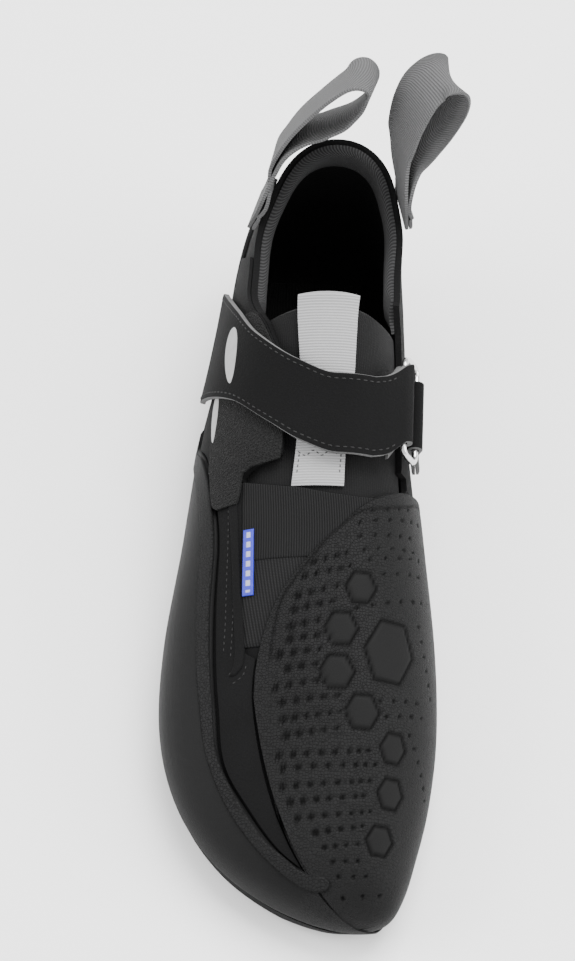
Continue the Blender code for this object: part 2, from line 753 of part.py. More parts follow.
def make_collar_padding(finish):
    """The padded lining, seen as a band round the inside of the topline."""
    high = -UPPER_WALL - GAP
    padding = layer("collar_padding", high - PADDING, high, finish, PADDING_STATION, float(ANKLE))
    upper_line = [(back_to_y(b), h * HEEL_HEIGHT) for b, h in COLLAR_LINE if b > PADDING_FRONT]
    lower_line = [(y, z - COLLAR_BAND) for y, z in reversed(upper_line)]
    band = prism("padding_cutter", upper_line + lower_line)
    cut(padding, band, "INTERSECT")
    return padding


def ribbon(name, path, thickness, finish):
    """A bent strip: path holds, for each fold row, its centre points across and their outward ways."""
    rows = list(range(len(path)))
    columns = list(range(len(path[0])))

    def place(row, column, side):
        centre, way = path[row][column]
        return centre + way * (thickness / 2 if side else -thickness / 2)

    return slab(name, rows, columns, place, finish)


def ring_frame():
    """The middles of the ring's two long bars, and the ways along them, between them and outwards."""
    height = GAP + PANEL + GAP + STRAP + GAP + RING_WIRE / 2
    other = RING_GIRTH + (RING_WIDTH - RING_WIRE) / girth_length(RING_STATION)
    bars = [lifted(RING_STATION, girth, height) for girth in (RING_GIRTH, other)]
    out = (form_normal(RING_STATION, RING_GIRTH) + form_normal(RING_STATION, other)).normalized()
    down = (bars[1] - bars[0]).normalized()
    along = out.cross(down).normalized()
    return bars, along, along.cross(out), out


def make_strap(finish):
    """The closing strap: over the instep, round the ring's bar and a little way back underneath."""
    lying = GAP + PANEL + GAP + PILE + LAY + STRAP / 2
    under = GAP + PANEL + LAY + STRAP / 2
    radius = RING_WIRE / 2 + GAP + STRAP / 2
    unit = girth_length(RING_STATION)
    bars, along, down, out = ring_frame()
    half = RING_LENGTH / 2 - RING_WIRE / 2 - RING_CORNER
    path = []

    def lying_row(girth, height, outward):
        front = read(STRAP_EDGES, STRAP_COLUMNS, "front", girth)
        back = read(STRAP_EDGES, STRAP_COLUMNS, "back", girth)
        line = []
        for share in STRAP_SHARES:
            station = front + (back - front) * share
            line.append((lifted(station, girth, height), form_normal(station, girth) * outward))
        return line

    def bar_row(angle):
        turn = math.radians(angle)
        way = down * math.cos(turn) + out * math.sin(turn)
        middle = bars[0] + way * radius
        return [(middle + along * half * (2 * share - 1), way) for share in STRAP_SHARES]

    for girth in even(STRAP_EDGES[0][0], RING_GIRTH - STRAP_RISE[0][0] / unit, 12):
        path.append(lying_row(girth, lying, 1))
    for before, rise in STRAP_RISE[1:]:
        low = lying_row(RING_GIRTH - before / unit, lying, 1)
        high = [(point - down * before, way) for point, way in bar_row(90)]
        path.append([(p.lerp(q, rise), v.lerp(w, rise).normalized()) for (p, v), (q, w) in zip(low, high)])
    path += [bar_row(angle) for angle in even(90, -90, 6)]
    path.append(lying_row(RING_GIRTH - RING_TAIL / unit, under, -1))
    return ribbon("strap", path, STRAP, finish)


def make_ring(finish):
    """A rounded rectangle of wire, with one long bar in the strap and the other in its tab."""
    bars, along, down, out = ring_frame()
    middle = (bars[0] + bars[1]) / 2
    half_width = (bars[1] - bars[0]).length / 2 - RING_CORNER
    half_length = (RING_LENGTH - RING_WIRE) / 2 - RING_CORNER
    points = []
    for turn, (side, end) in enumerate(((1, 1), (-1, 1), (-1, -1), (1, -1))):
        centre = middle + down * side * half_width + along * end * half_length
        for angle in even(turn * 90.0, turn * 90.0 + 90.0, 4):
            swing = math.radians(angle)
            points.append(centre + (down * math.cos(swing) + along * math.sin(swing)) * RING_CORNER)
    curve = bpy.data.curves.new("strap_ring", "CURVE")
    curve.dimensions = "3D"
    curve.bevel_depth = RING_WIRE / 2
    curve.bevel_resolution = 2
    spline = curve.splines.new("POLY")
    spline.points.add(len(points) - 1)
    for spot, point in zip(spline.points, points):
        spot.co = (*point, 1.0)
    spline.use_cyclic_u = True
    return add_object("strap_ring", curve, finish)


def make_ring_tab(finish):
    """The short suede loop that holds the ring's lower bar to the medial quarter."""
    unit = girth_length(RING_STATION)
    bars, along, down, out = ring_frame()
    radius = RING_WIRE / 2 + GAP + WEBBING / 2
    half = RING_LENGTH / 2 - RING_WIRE / 2 - RING_CORNER - TAB_INSET
    under = LAY + WEBBING / 2
    over = under + WEBBING + GAP
    bar_girth = RING_GIRTH + (RING_WIDTH - RING_WIRE) / unit
    path = []

    def lying_row(past, height, outward):
        girth = bar_girth + past / unit
        stations = [RING_STATION + half * share / station_length(RING_STATION) for share in TAB_SHARES]
        return [(lifted(s, girth, height), form_normal(s, girth) * outward) for s in stations]

    def bar_row(angle):
        turn = math.radians(angle)
        way = down * math.cos(turn) + out * math.sin(turn)
        return [(bars[1] + way * radius + along * half * share, way) for share in TAB_SHARES]

    for past in even(TAB_REACH, TAB_RISE, 4):
        path.append(lying_row(past, over, 1))
    path += [bar_row(angle) for angle in even(60, 270, 7)]
    for past in even(TAB_RISE, TAB_REACH, 4):
        path.append(lying_row(past, under, -1))
    return ribbon("ring_tab", path, WEBBING, finish)


def make_loop(name, sewn, free, turn, finish):
    """A pull loop of webbing: sewn down, bent through its free points, and sewn down on itself."""
    under = GAP + WEBBING / 2
    over = under + WEBBING + GAP

    def sewn_row(station, girth, height):
        across = form_point(station, girth + PROBE) - form_point(station, girth - PROBE)
        return (*lifted(station, girth, height), *(across.normalized() * turn))

    points = [sewn_row(station, girth, under) for station, girth in sewn]
    for side, back, height, *across in free:
        points.append((side * BALL_WIDTH, back_to_y(back), height * HEEL_HEIGHT, *across))
    points += [sewn_row(station, girth, over) for station, girth in reversed(sewn)]
    keys = list(range(len(points)))
    rows = []
    for share in even(0.0, len(points) - 1.0, round(LOOP_ROWS * len(points))):
        values = [smooth(keys, [point[k] for point in points], share) for k in range(6)]
        rows.append((Vector(values[:3]), Vector(values[3:])))
    path = []
    for i, (centre, across) in enumerate(rows):
        run = (rows[min(i + 1, len(rows) - 1)][0] - rows[max(i - 1, 0)][0]).normalized()
        across = (across - run * across.dot(run)).normalized()
        outward = run.cross(across)
        path.append([(centre + across * LOOP_WIDTH * share, outward) for share in (-0.5, 0.0, 0.5)])
    return ribbon(name, path, WEBBING, finish)


def main():
    for old in list(bpy.data.objects):
        bpy.data.objects.remove(old, do_unlink=True)
    suede = material("black_suede", (0.030, 0.030, 0.031), 0.85)
    rubber = material("black_rubber", (0.028, 0.028, 0.029), 0.60)
    patch_rubber = material("moulded_rubber", (0.040, 0.040, 0.041), 0.55)
    knit = material("tongue_fabric", (0.035, 0.035, 0.037), 0.90)
    fuzzy = material("pile_fabric", (0.018, 0.018, 0.018), 1.00)
    strap_suede = material("strap_suede", (0.026, 0.026, 0.027), 0.75)
    lining = material("lining_twill", (0.070, 0.070, 0.072), 0.90)
    board = material("insole_board", (0.020, 0.020, 0.020), 0.90)
    tab_webbing = material("light_webbing", (0.620, 0.620, 0.620), 0.85)
    loop_webbing = material("grey_webbing", (0.230, 0.230, 0.235), 0.80)
    steel = material("steel_wire", (0.620, 0.620, 0.630), 0.30, 1.0)
    blue = material("blue_label", (0.060, 0.075, 0.420), 0.60)

    openings = make_openings()
    make_upper(openings, suede)
    make_insole(board)
    make_rand(rubber)
    make_heel_cup(rubber)
    make_toe_patch(patch_rubber)
    make_sole("outsole", *OUTSOLE_STATIONS, rubber)
    make_sole("heel_sole", *HEEL_SOLE_STATIONS, rubber)
    make_panel(openings, suede)
    make_pile(openings, fuzzy)
    make_tongue(knit)
    make_tongue_tab(tab_webbing)
    make_label(blue)
    make_collar_padding(lining)
    make_strap(strap_suede)
    make_ring(steel)
    make_ring_tab(strap_suede)
    make_loop("pull_loop_lateral", LATERAL_SEWN, LATERAL_LOOP, -1, loop_webbing)
    make_loop("pull_loop_medial", MEDIAL_SEWN, MEDIAL_LOOP, 1, loop_webbing)


main()
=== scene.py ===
# %% [markdown]
# A low climbing shoe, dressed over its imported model. The frame is loaded first: every piece below
# lies on it, in metres, with the toe towards -Y and the inner side of this right shoe towards +X.

# %% Load the frame
import math

import bmesh
import bpy
import numpy as np
from mathutils import Matrix, Vector


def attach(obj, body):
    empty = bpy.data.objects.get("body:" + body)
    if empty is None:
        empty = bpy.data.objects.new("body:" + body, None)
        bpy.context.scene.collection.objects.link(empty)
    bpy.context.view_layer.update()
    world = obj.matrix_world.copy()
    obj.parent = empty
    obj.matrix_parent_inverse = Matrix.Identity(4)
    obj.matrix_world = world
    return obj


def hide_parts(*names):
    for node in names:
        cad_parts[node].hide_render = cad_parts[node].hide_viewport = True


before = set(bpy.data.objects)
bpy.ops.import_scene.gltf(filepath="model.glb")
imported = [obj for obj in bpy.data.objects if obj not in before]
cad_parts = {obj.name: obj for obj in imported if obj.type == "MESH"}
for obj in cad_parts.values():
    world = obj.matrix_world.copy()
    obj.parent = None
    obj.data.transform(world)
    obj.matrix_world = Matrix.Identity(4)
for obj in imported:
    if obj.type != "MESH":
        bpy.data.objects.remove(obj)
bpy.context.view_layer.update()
MM = 0.001
print("frame", sorted(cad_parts))

# %% [markdown]
# A shoe is built over a last, a model of the foot. Its outside is worked out once, as a table of
# sections across the foot, and every piece is then laid on that form at its own height. The station
# runs from 0 at the toe tip to 15 at the ankle, and the girth once round the foot from the ridge.

# %% The sizes of the last
LENGTH = 0.256
BALL_WIDTH = 0.088
INSTEP_HEIGHT = 0.070
HEEL_HEIGHT = 0.084
HEEL_REST = 0.030
STACK = 0.0050
ANKLE = 15
SOLE_CORNER = 2.6
# Steps along half a quarter of a section, along a soft curve, and in the table of the form
ARC_STEPS = 40
CURVE_STEPS = 16
STATION_STEP = 0.05
GIRTH_STEPS = 32
COLUMNS = (
    "sole_back", "lift", "top_back", "top", "lateral", "medial", "ridge", "widest", "flat", "crown",
)
SECTIONS = np.array((
    (0.000, 0.130, 0.000, 0.150, 0.150, 0.150, 0.150, 0.50, 2.2, 2.2),
    (0.010, 0.050, 0.010, 0.245, 0.010, 0.245, 0.145, 0.46, 2.6, 2.2),
    (0.040, 0.012, 0.040, 0.335, -0.175, 0.298, 0.140, 0.40, 4.0, 2.2),
    (0.090, 0.002, 0.090, 0.400, -0.350, 0.342, 0.130, 0.34, 7.0, 2.2),
    (0.160, 0.000, 0.160, 0.470, -0.480, 0.390, 0.110, 0.30, 9.0, 2.2),
    (0.250, 0.004, 0.250, 0.560, -0.545, 0.420, 0.090, 0.27, 9.0, 2.2),
    (0.360, 0.030, 0.360, 0.660, -0.540, 0.415, 0.070, 0.25, 8.0, 2.2),
    (0.490, 0.095, 0.490, 0.785, -0.485, 0.375, 0.040, 0.24, 7.0, 2.2),
    (0.640, 0.100, 0.625, 0.970, -0.430, 0.332, 0.020, 0.23, 6.0, 2.2),
    (0.770, 0.020, 0.710, 1.150, -0.370, 0.325, 0.000, 0.24, 5.0, 2.2),
    (0.875, 0.000, 0.742, 1.270, -0.330, 0.315, 0.000, 0.26, 4.0, 2.2),
    (0.962, 0.060, 0.754, 1.330, -0.300, 0.300, 0.000, 0.32, 3.0, 2.2),
    (1.000, 0.340, 0.762, 1.360, -0.266, 0.284, 0.000, 0.44, 2.3, 2.2),
    (0.990, 0.660, 0.768, 1.390, -0.228, 0.262, 0.000, 0.52, 2.2, 2.2),
    (0.968, 0.980, 0.774, 1.420, -0.205, 0.252, 0.000, 0.55, 2.1, 2.2),
    (0.955, 1.280, 0.780, 1.480, -0.195, 0.250, 0.000, 0.55, 2.1, 2.2),
))


def section_row(index):
    """A row of the table. Rows before the toe tip are its mirror, so that the toe closes round."""
    if index >= 0:
        return SECTIONS[min(index, ANKLE)]
    sole_back, lift, top_back, top, lateral, medial, *rest = SECTIONS[-index]
    turned = (top * INSTEP_HEIGHT / HEEL_HEIGHT, lift * HEEL_HEIGHT / INSTEP_HEIGHT)
    return np.array((top_back, turned[0], sole_back, turned[1], medial, lateral, *rest))


def section_values(station):
    """The table's columns at any station, on a smooth curve through its rows."""
    index = min(int(station), ANKLE - 1)
    t = station - index
    before, start, end, after = (section_row(index + k) for k in (-1, 0, 1, 2))
    if index + 2 > ANKLE:
        after = 2 * end - start
    bent = (2 * before - 5 * start + 4 * end - after) * t ** 2
    turned = (3 * start - before - 3 * end + after) * t ** 3
    return dict(zip(COLUMNS, 0.5 * (2 * start + (end - before) * t + bent + turned)))


def back_to_y(back):
    return back * LENGTH - LENGTH + HEEL_REST


print("sections", len(SECTIONS))


# %% The form, as a dense table of points and outward directions
def corner_arc(side, middle, low, high, fullness, fullness_up):
    """A quarter of a section, from the widest point at one side to its top or bottom."""
    angles = np.linspace(0, math.pi / 2, 2 * ARC_STEPS + 1)
    across = middle + (side - middle) * np.cos(angles) ** (2 / fullness)
    return np.column_stack([across, low + (high - low) * np.sin(angles) ** (2 / fullness_up)])


def section_points(station):
    """One outline across the foot, with the same number of points for each of its six girths."""
    form = section_values(station)
    low = np.array((back_to_y(form["sole_back"]), STACK + form["lift"] * HEEL_HEIGHT))
    high = np.array((back_to_y(form["top_back"]), STACK + form["top"] * INSTEP_HEIGHT))
    centre, ridge = (form["lateral"] + form["medial"]) / 2 * BALL_WIDTH, form["ridge"] * BALL_WIDTH
    widest, crown = form["widest"], form["crown"]
    halves = []
    for name in ("medial", "lateral"):
        side = form[name] * BALL_WIDTH
        top = corner_arc(side, ridge, widest, 1.0, crown, crown)
        under = corner_arc(side, centre, widest, 0.0, form["flat"], SOLE_CORNER)
        halves.append([top[::-1], under[:ARC_STEPS + 1], under[ARC_STEPS:]])
    points = []
    for span in halves[0] + [span[::-1] for span in reversed(halves[1])]:
        line = np.column_stack([span[:, 0], low + (high - low) * span[:, 1:]])
        run = np.concatenate([[0], np.cumsum(np.linalg.norm(np.diff(line, axis=0), axis=1))])
        shares = run / run[-1] if run[-1] > 0 else np.linspace(0, 1, len(run))
        at_shares = np.arange(GIRTH_STEPS) / GIRTH_STEPS
        points.append(np.column_stack([np.interp(at_shares, shares, line[:, k]) for k in range(3)]))
    points = np.concatenate(points)
    return np.concatenate([points, points[:1]])


def make_form():
    stations = np.arange(0, ANKLE + STATION_STEP / 2, STATION_STEP)
    points = np.array([section_points(station) for station in stations])
    along = np.gradient(points, axis=0)
    looped = np.concatenate([points[:, -2:-1], points, points[:, 1:2]], axis=1)
    round_foot = (looped[:, 2:] - looped[:, :-2])
    normals = np.cross(round_foot, along)
    normals[0] = (0, -1, 0)
    normals /= np.maximum(np.linalg.norm(normals, axis=2, keepdims=True), 1e-12)
    return points, normals


FORM_POINTS, FORM_NORMALS = make_form()


def on_form(station, girth):
    """Points of the form and the directions square to it, for arrays of stations and girths."""
    station, girth = np.broadcast_arrays(np.asarray(station, float), np.asarray(girth, float))
    rows = np.clip(station, 0, ANKLE) / STATION_STEP
    columns = (girth % 6) * GIRTH_STEPS
    i = np.minimum(rows.astype(int), len(FORM_POINTS) - 2)
    j = np.minimum(columns.astype(int), FORM_POINTS.shape[1] - 2)
    a, b = (rows - i)[..., None], (columns - j)[..., None]
    found = []
    for table in (FORM_POINTS, FORM_NORMALS):
        front = table[i, j] * (1 - b) + table[i, j + 1] * b
        rear = table[i + 1, j] * (1 - b) + table[i + 1, j + 1] * b
        found.append(front * (1 - a) + rear * a)
    points, normals = found
    return points, normals / np.linalg.norm(normals, axis=-1, keepdims=True)


def lifted(station, girth, height):
    points, normals = on_form(station, girth)
    return points + normals * np.asarray(height, float)[..., None]


low_corner, high_corner = FORM_POINTS.min((0, 1)), FORM_POINTS.max((0, 1))
print("form", FORM_POINTS.shape, np.round((high_corner - low_corner) / MM, 1))

# %% [markdown]
# Almost every part of a shoe is a thin curved plate. One helper makes them all: a flat grid is given
# its places on the form, thickened by extruding it, and its rim is rounded off. It also keeps a UV
# map in metres, so that cloth patterns follow the piece, and the distance of each point to its rim.


# %% Curved plates
def smooth_curve(keys, values):
    """A soft curve through a table's values that doesn't overshoot them, ready to be read quickly."""
    keys, values = np.asarray(keys, float), np.asarray(values, float)
    steps = np.diff(keys)
    slopes = np.diff(values) / steps
    tangents = np.zeros(len(keys))
    tangents[0], tangents[-1] = slopes[0], slopes[-1]
    for k in range(1, len(keys) - 1):
        if slopes[k - 1] * slopes[k] > 0:
            tangents[k] = 2 / (1 / slopes[k - 1] + 1 / slopes[k])
    dense_keys, dense_values = [], []
    for k in range(len(steps)):
        t = np.linspace(0, 1, CURVE_STEPS + 1)
        ends = (1 + 2 * t) * (1 - t) ** 2 * values[k] + t * t * (3 - 2 * t) * values[k + 1]
        bend = t * (1 - t) ** 2 * tangents[k] - t * t * (1 - t) * tangents[k + 1]
        dense_keys.append(keys[k] + steps[k] * t)
        dense_values.append(ends + bend * steps[k])
    dense_keys, dense_values = np.concatenate(dense_keys), np.concatenate(dense_values)
    return lambda at: np.interp(at, dense_keys, dense_values)


def table_curves(table):
    """One smooth curve for each column of a table, over its first column."""
    columns = list(zip(*table))
    return [smooth_curve(columns[0], column) for column in columns[1:]]


def rounded(count, edge=0.02):
    """Shares from 0 to 1 that crowd at both ends, where a plate's rim is rounded."""
    near = edge * np.array((0.0, 0.06, 0.22, 0.5, 1.0))
    return np.concatenate([near[:-1], np.linspace(edge, 1 - edge, count), 1 - near[-2::-1]])


def lengths(points, axis):
    """How far each point of a grid lies along its row or column."""
    steps = np.linalg.norm(np.diff(points, axis=axis), axis=2)
    start = np.zeros_like(steps.take([0], axis))
    return np.concatenate([start, np.cumsum(steps, axis=axis)], axis=axis)


def add_piece(name, bm):
    """Puts a finished bmesh into the scene as an object of its own."""
    mesh = bpy.data.meshes.new(name)
    bm.to_mesh(mesh)
    bm.free()
    piece = bpy.data.objects.new(name, mesh)
    bpy.context.scene.collection.objects.link(piece)
    return piece


def plate(name, points, normals, low, high, rim=0.0, sides=(True, True, True, True), marks=None):
    """A plate over a grid of points, from the height low to the height high. sides says which of its
    first row, last row, first column and last column are a rim."""
    rows, columns = points.shape[:2]
    run, width = lengths(points, 0), lengths(points, 1)
    reaches = (run, run[-1:] - run, width, width[:, -1:] - width)
    edge = np.min([reach for reach, is_rim in zip(reaches, sides) if is_rim] or [run + 1], axis=0)
    high = np.broadcast_to(high, points.shape[:2])
    if np.any(rim):
        high = high - rim * (1 - np.sqrt(1 - (1 - np.clip(edge / rim, 0, 1)) ** 2))
    under = points + normals * np.broadcast_to(low, points.shape[:2])[..., None]
    over = points + normals * high[..., None]
    bm = bmesh.new()
    row_layer, column_layer = (bm.verts.layers.int.new(word) for word in ("row", "column"))
    bmesh.ops.create_grid(bm, x_segments=columns - 1, y_segments=rows - 1, size=0.5)
    for vert in bm.verts:
        vert[row_layer] = round((vert.co.y + 0.5) * (rows - 1))
        vert[column_layer] = round((vert.co.x + 0.5) * (columns - 1))
        vert.co = under[vert[row_layer], vert[column_layer]]
    bmesh.ops.remove_doubles(bm, verts=bm.verts, dist=1e-6)
    pushed = bmesh.ops.extrude_face_region(bm, geom=bm.faces[:])
    for vert in (part for part in pushed["geom"] if isinstance(part, bmesh.types.BMVert)):
        vert.co = over[vert[row_layer], vert[column_layer]]
    bmesh.ops.recalc_face_normals(bm, faces=bm.faces)
    piece = add_piece(name, bm)
    mesh = piece.data
    found = np.empty((2, len(mesh.vertices)), int)
    mesh.attributes["row"].data.foreach_get("value", found[0])
    mesh.attributes["column"].data.foreach_get("value", found[1])
    corners = np.empty(len(mesh.loops), int)
    mesh.loops.foreach_get("vertex_index", corners)
    places = np.stack([width[found[0], found[1]], run[found[0], found[1]]], 1)
    mesh.uv_layers.new(name="UVMap").data.foreach_set("uv", places[corners].ravel())
    for word, values in {"edge": edge, **(marks or {})}.items():
        mark = mesh.attributes.new(word, "FLOAT", "POINT")
        mark.data.foreach_set("value", values[found[0], found[1]])
    return piece


def wear(piece, finish, slot, *nodes, sharp=50):
    """Gives a piece its finish, smooth shading, its body and the CAD nodes that it stands for."""
    piece.data.materials.clear()
    piece.data.materials.append(finish)
    piece.data.shade_smooth()
    piece.data.set_sharp_from_angle(angle=math.radians(sharp))
    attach(piece, "root")
    if nodes:
        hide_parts(*nodes)
    print(piece.name, sum(len(face.vertices) - 2 for face in piece.data.polygons), "triangles")
    return piece


# %% [markdown]
# Holes such as the collar and the throat are cut with cutters, as a knife would cut the hide. A
# Boolean modifier does it, its result is kept as the mesh, and the cutters are thrown away.


# %% Cutting
def carve(piece, cutters):
    for cutter in cutters:
        step = piece.modifiers.new(cutter.name, "BOOLEAN")
        step.operation, step.solver, step.object = "DIFFERENCE", "EXACT", cutter
    graph = bpy.context.evaluated_depsgraph_get()
    mesh = bpy.data.meshes.new_from_object(piece.evaluated_get(graph))
    piece.modifiers.clear()
    piece.data = mesh
    return piece


def between(name, rows, edges, shares, low, high, rim=0.0, sides=(True, True, True, True), along=False):
    """A plate between two edges, each one value or one for each row. Rows are stations, or girths
    when along is set."""
    first, last = (np.broadcast_to(edge, rows.shape)[:, None] for edge in edges)
    across = first + (last - first) * shares
    rows = np.broadcast_to(rows[:, None], across.shape)
    points, normals = on_form(*((across, rows) if along else (rows, across)))
    return plate(name, points, normals, low, high, rim, sides)


def edged(name, table, count, shares, low, high, rim=0.0, along=False):
    """A plate between the two edges that a table gives for each of its rows."""
    rows = np.linspace(table[0][0], table[-1][0], count)
    edges = [curve(rows) for curve in table_curves(table)]
    return between(name, rows, edges, shares, low, high, rim, along=along)


COLLAR_LINE = (
    (0.660, 1.100), (0.690, 1.010), (0.715, 0.930), (0.750, 0.830), (0.800, 0.765), (0.850, 0.770),
    (0.900, 0.860), (0.950, 1.020), (1.000, 1.125), (1.060, 1.165),
)
THROAT = (
    (7.39, -0.270, 0.480), (7.60, -0.250, 0.510), (8.00, -0.250, 0.540), (8.40, -0.245, 0.550),
    (8.70, -0.280, 0.550), (9.00, -0.320, 0.540), (9.25, -0.370, 0.530), (9.60, -0.420, 0.500),
    (10.00, -0.440, 0.470),
)
HEM = (
    (-0.47, 7.27, 7.31), (-0.42, 7.24, 7.37), (-0.30, 7.19, 7.43), (-0.20, 7.16, 7.46),
    (0.00, 7.10, 7.46), (0.12, 7.09, 7.46), (0.25, 7.11, 7.46), (0.38, 7.17, 7.46),
    (0.50, 7.26, 7.46), (0.57, 7.36, 7.46),
)
WINDOW_STATIONS, WINDOW_GIRTHS = (1.94, 10.40), (2.44, 3.56)
CUT_REACH = 0.006
CEILING = 0.30


def collar_cutter():
    """Everything above the topline, seen from the side."""
    back = np.linspace(COLLAR_LINE[0][0], COLLAR_LINE[-1][0], 60)
    height = table_curves(COLLAR_LINE)[0](back)
    line = [(back_to_y(b), h * HEEL_HEIGHT) for b, h in zip(back, height)]
    outline = [*line, (line[-1][0], CEILING), (line[0][0], CEILING)]
    bm = bmesh.new()
    bm.faces.new([bm.verts.new((-BALL_WIDTH, y, z)) for y, z in outline])
    pushed = bmesh.ops.extrude_face_region(bm, geom=bm.faces[:])
    moved = [part for part in pushed["geom"] if isinstance(part, bmesh.types.BMVert)]
    bmesh.ops.translate(bm, verts=moved, vec=(2 * BALL_WIDTH, 0, 0))
    bmesh.ops.recalc_face_normals(bm, faces=bm.faces)
    return add_piece("collar_cutter", bm)


collar = collar_cutter()
throat = edged("throat_cutter", THROAT, 40, np.linspace(0, 1, 12), -CUT_REACH, CUT_REACH)
hem = edged("hem_cutter", HEM, 36, np.linspace(0, 1, 5), -CUT_REACH, CUT_REACH, along=True)
window = between(
    "window_cutter", np.linspace(*WINDOW_STATIONS, 60), WINDOW_GIRTHS, np.linspace(0, 1, 8),
    -CUT_REACH / 2, CUT_REACH)
print("cutters ready")

# %% [markdown]
# A finish is a small network of nodes. To write it as plain sums, one class wraps a value on its way
# through the nodes: adding or multiplying two of them adds the Math node that does it.


# %% Shader maths
class Signal:
    """A value, colour or vector that comes out of a node."""

    def __init__(self, finish, socket):
        self.finish = finish
        self.socket = socket

    def math(self, operation, *others, clamp=False):
        values = {k: other for k, other in enumerate((self, *others))}
        settings = {"operation": operation, "use_clamp": clamp}
        return self.finish.node("ShaderNodeMath", settings, values)

    def __add__(self, other):
        return self.math("ADD", other)

    def __mul__(self, other):
        return self.math("MULTIPLY", other)

    def __rsub__(self, other):
        return (self * -1.0) + other

    __radd__ = __add__
    __rmul__ = __mul__

    def wave(self, pitch):
        """A smooth ripple from 0 to 1 that repeats after this many metres."""
        return (self * (2 * math.pi / pitch)).math("SINE") * 0.5 + 0.5

    def below(self, limit, soft):
        """1 where the value is under the limit, falling to 0 over the soft distance."""
        return ((self * -1.0 + limit) * (1 / soft) + 0.5).math("MAXIMUM", 0.0).math("MINIMUM", 1.0)


class Finish:
    """A material with a Principled shader whose constant sockets are set straight away."""

    def __init__(self, name, **constants):
        self.material = bpy.data.materials.new(name)
        self.material.use_nodes = True
        self.tree = self.material.node_tree
        self.shader = self.tree.nodes["Principled BSDF"]
        for word, value in constants.items():
            self.shader.inputs[word.replace("_", " ")].default_value = value

    def node(self, kind, settings=None, sockets=None, output=0):
        made = self.tree.nodes.new(kind)
        for word, value in (settings or {}).items():
            setattr(made, word, value)
        for word, value in (sockets or {}).items():
            if isinstance(value, Signal):
                self.tree.links.new(value.socket, made.inputs[word])
            else:
                made.inputs[word].default_value = value
        return Signal(self, made.outputs[output])

    def place(self):
        return self.node("ShaderNodeTexCoord", output="Object")

    def cloth(self):
        """The piece's own UV map, in metres: across it and along it."""
        both = self.node("ShaderNodeUVMap", {"uv_map": "UVMap"})
        across = self.node("ShaderNodeSeparateXYZ", {}, {"Vector": both})
        return across, Signal(self, across.socket.node.outputs[1])

    def mark(self, word):
        return self.node("ShaderNodeAttribute", {"attribute_name": word}, {}, "Fac")

    def noise(self, size, detail=2.0):
        sockets = {"Vector": self.place(), "Scale": 1 / size, "Detail": detail}
        return self.node("ShaderNodeTexNoise", {}, sockets)

    def mix(self, factor, first, second):
        sockets = {0: factor, 6: first, 7: second}
        return self.node("ShaderNodeMix", {"data_type": "RGBA"}, sockets, 2)

    def finish(self, colour=None, roughness=None, height=None, depth=0.0001):
        for word, value in (("Base Color", colour), ("Roughness", roughness)):
            if value is not None:
                self.tree.links.new(value.socket, self.shader.inputs[word])
        if height is not None:
            sockets = {"Height": height, "Distance": depth, "Strength": 1.0}
            bump = self.node("ShaderNodeBump", {}, sockets)
            self.tree.links.new(bump.socket, self.shader.inputs["Normal"])
        return self.material


def grey(level, tint=0.0):
    return (level, level, level * (1 + tint), 1.0)


print("shader helpers ready")

# %% [markdown]
# The finishes of this shoe are nearly all black, and they differ by their grain. Microsuede has a
# short nap and drinks the light, rubber is dull with a faint sheen and small round scales pressed
# into it, and the webbing and the lining show the ribs of their weave.


# %% Microsuede and rubber
def suede(name, dark, light, cut=None):
    """Microsuede: a fine nap with cloudy patches, and if asked for, pale cut edges."""
    made = Finish(name, Sheen_Weight=0.01, Sheen_Roughness=0.6, Specular_IOR_Level=0.05)
    clouds = made.noise(0.018, 3.0)
    nap = made.noise(0.0007, 2.0)
    colour = made.mix(clouds * 0.6 + nap * 0.4, grey(dark), grey(light, 0.03))
    if cut:
        pale = made.mark("edge").below(0.00016, 0.00014) * (0.55 + 0.45 * made.noise(0.004))
        colour = made.mix(pale, colour, grey(cut))
    return made.finish(colour, 0.80 + 0.15 * clouds, nap + clouds * 0.5, 0.00022)


def rubber(name, dark, light, scales=0.0, patch=False):
    """Rubber, with scales of about 2 mm pressed into it when asked for. Their grooves are also darkened
    in colour: painted shade.
    """
    made = Finish(name, Specular_IOR_Level=0.08)
    clouds = made.noise(0.030, 3.0)
    grit = made.noise(0.0005, 2.0)
    colour = made.mix(clouds, grey(dark), grey(light, 0.02))
    height = grit * 0.35
    rough = 0.50 + 0.16 * clouds
    if scales:
        cells = {"Vector": made.place(), "Scale": 1 / 0.0010, "Randomness": 0.7}
        rim = made.node("ShaderNodeTexVoronoi", {"feature": "DISTANCE_TO_EDGE"}, cells)
        line = rim.below(0.06, 0.08) * scales
        if patch:
            line = line * (1 - made.mark("plain"))
        # The scale grooves are darkened in colour here: painted shade in the grooves.
        colour = made.mix(line * 0.75, colour, grey(dark * 0.30))
        height = height + (1 - line) * 1.2
    if patch:
        # Where the sunk mark is high the colour is darkened: painted shade in the hollows of the relief
        # and along the grip band's edge.
        colour = made.mix(made.mark("sunk") * 0.88, colour, grey(dark * 0.16))
        colour = made.mix(made.mark("plain") * 0.55, colour, grey(dark * 0.45))
        rough = rough + made.mark("sunk") * 0.3
    return made.finish(colour, rough, height, 0.00022)


black_suede = suede("black_suede", 0.0030, 0.0075)
strap_suede = suede("strap_suede", 0.0030, 0.0065, cut=0.14)
sole_rubber = rubber("sole_rubber", 0.003, 0.006)
rand_rubber = rubber("rand_rubber", 0.004, 0.008, scales=0.10)
grip_rubber = rubber("grip_rubber", 0.006, 0.012, scales=0.7, patch=True)
patch_rubber = rubber("patch_rubber", 0.006, 0.011, scales=0.6, patch=True)
print("suede and rubber ready")


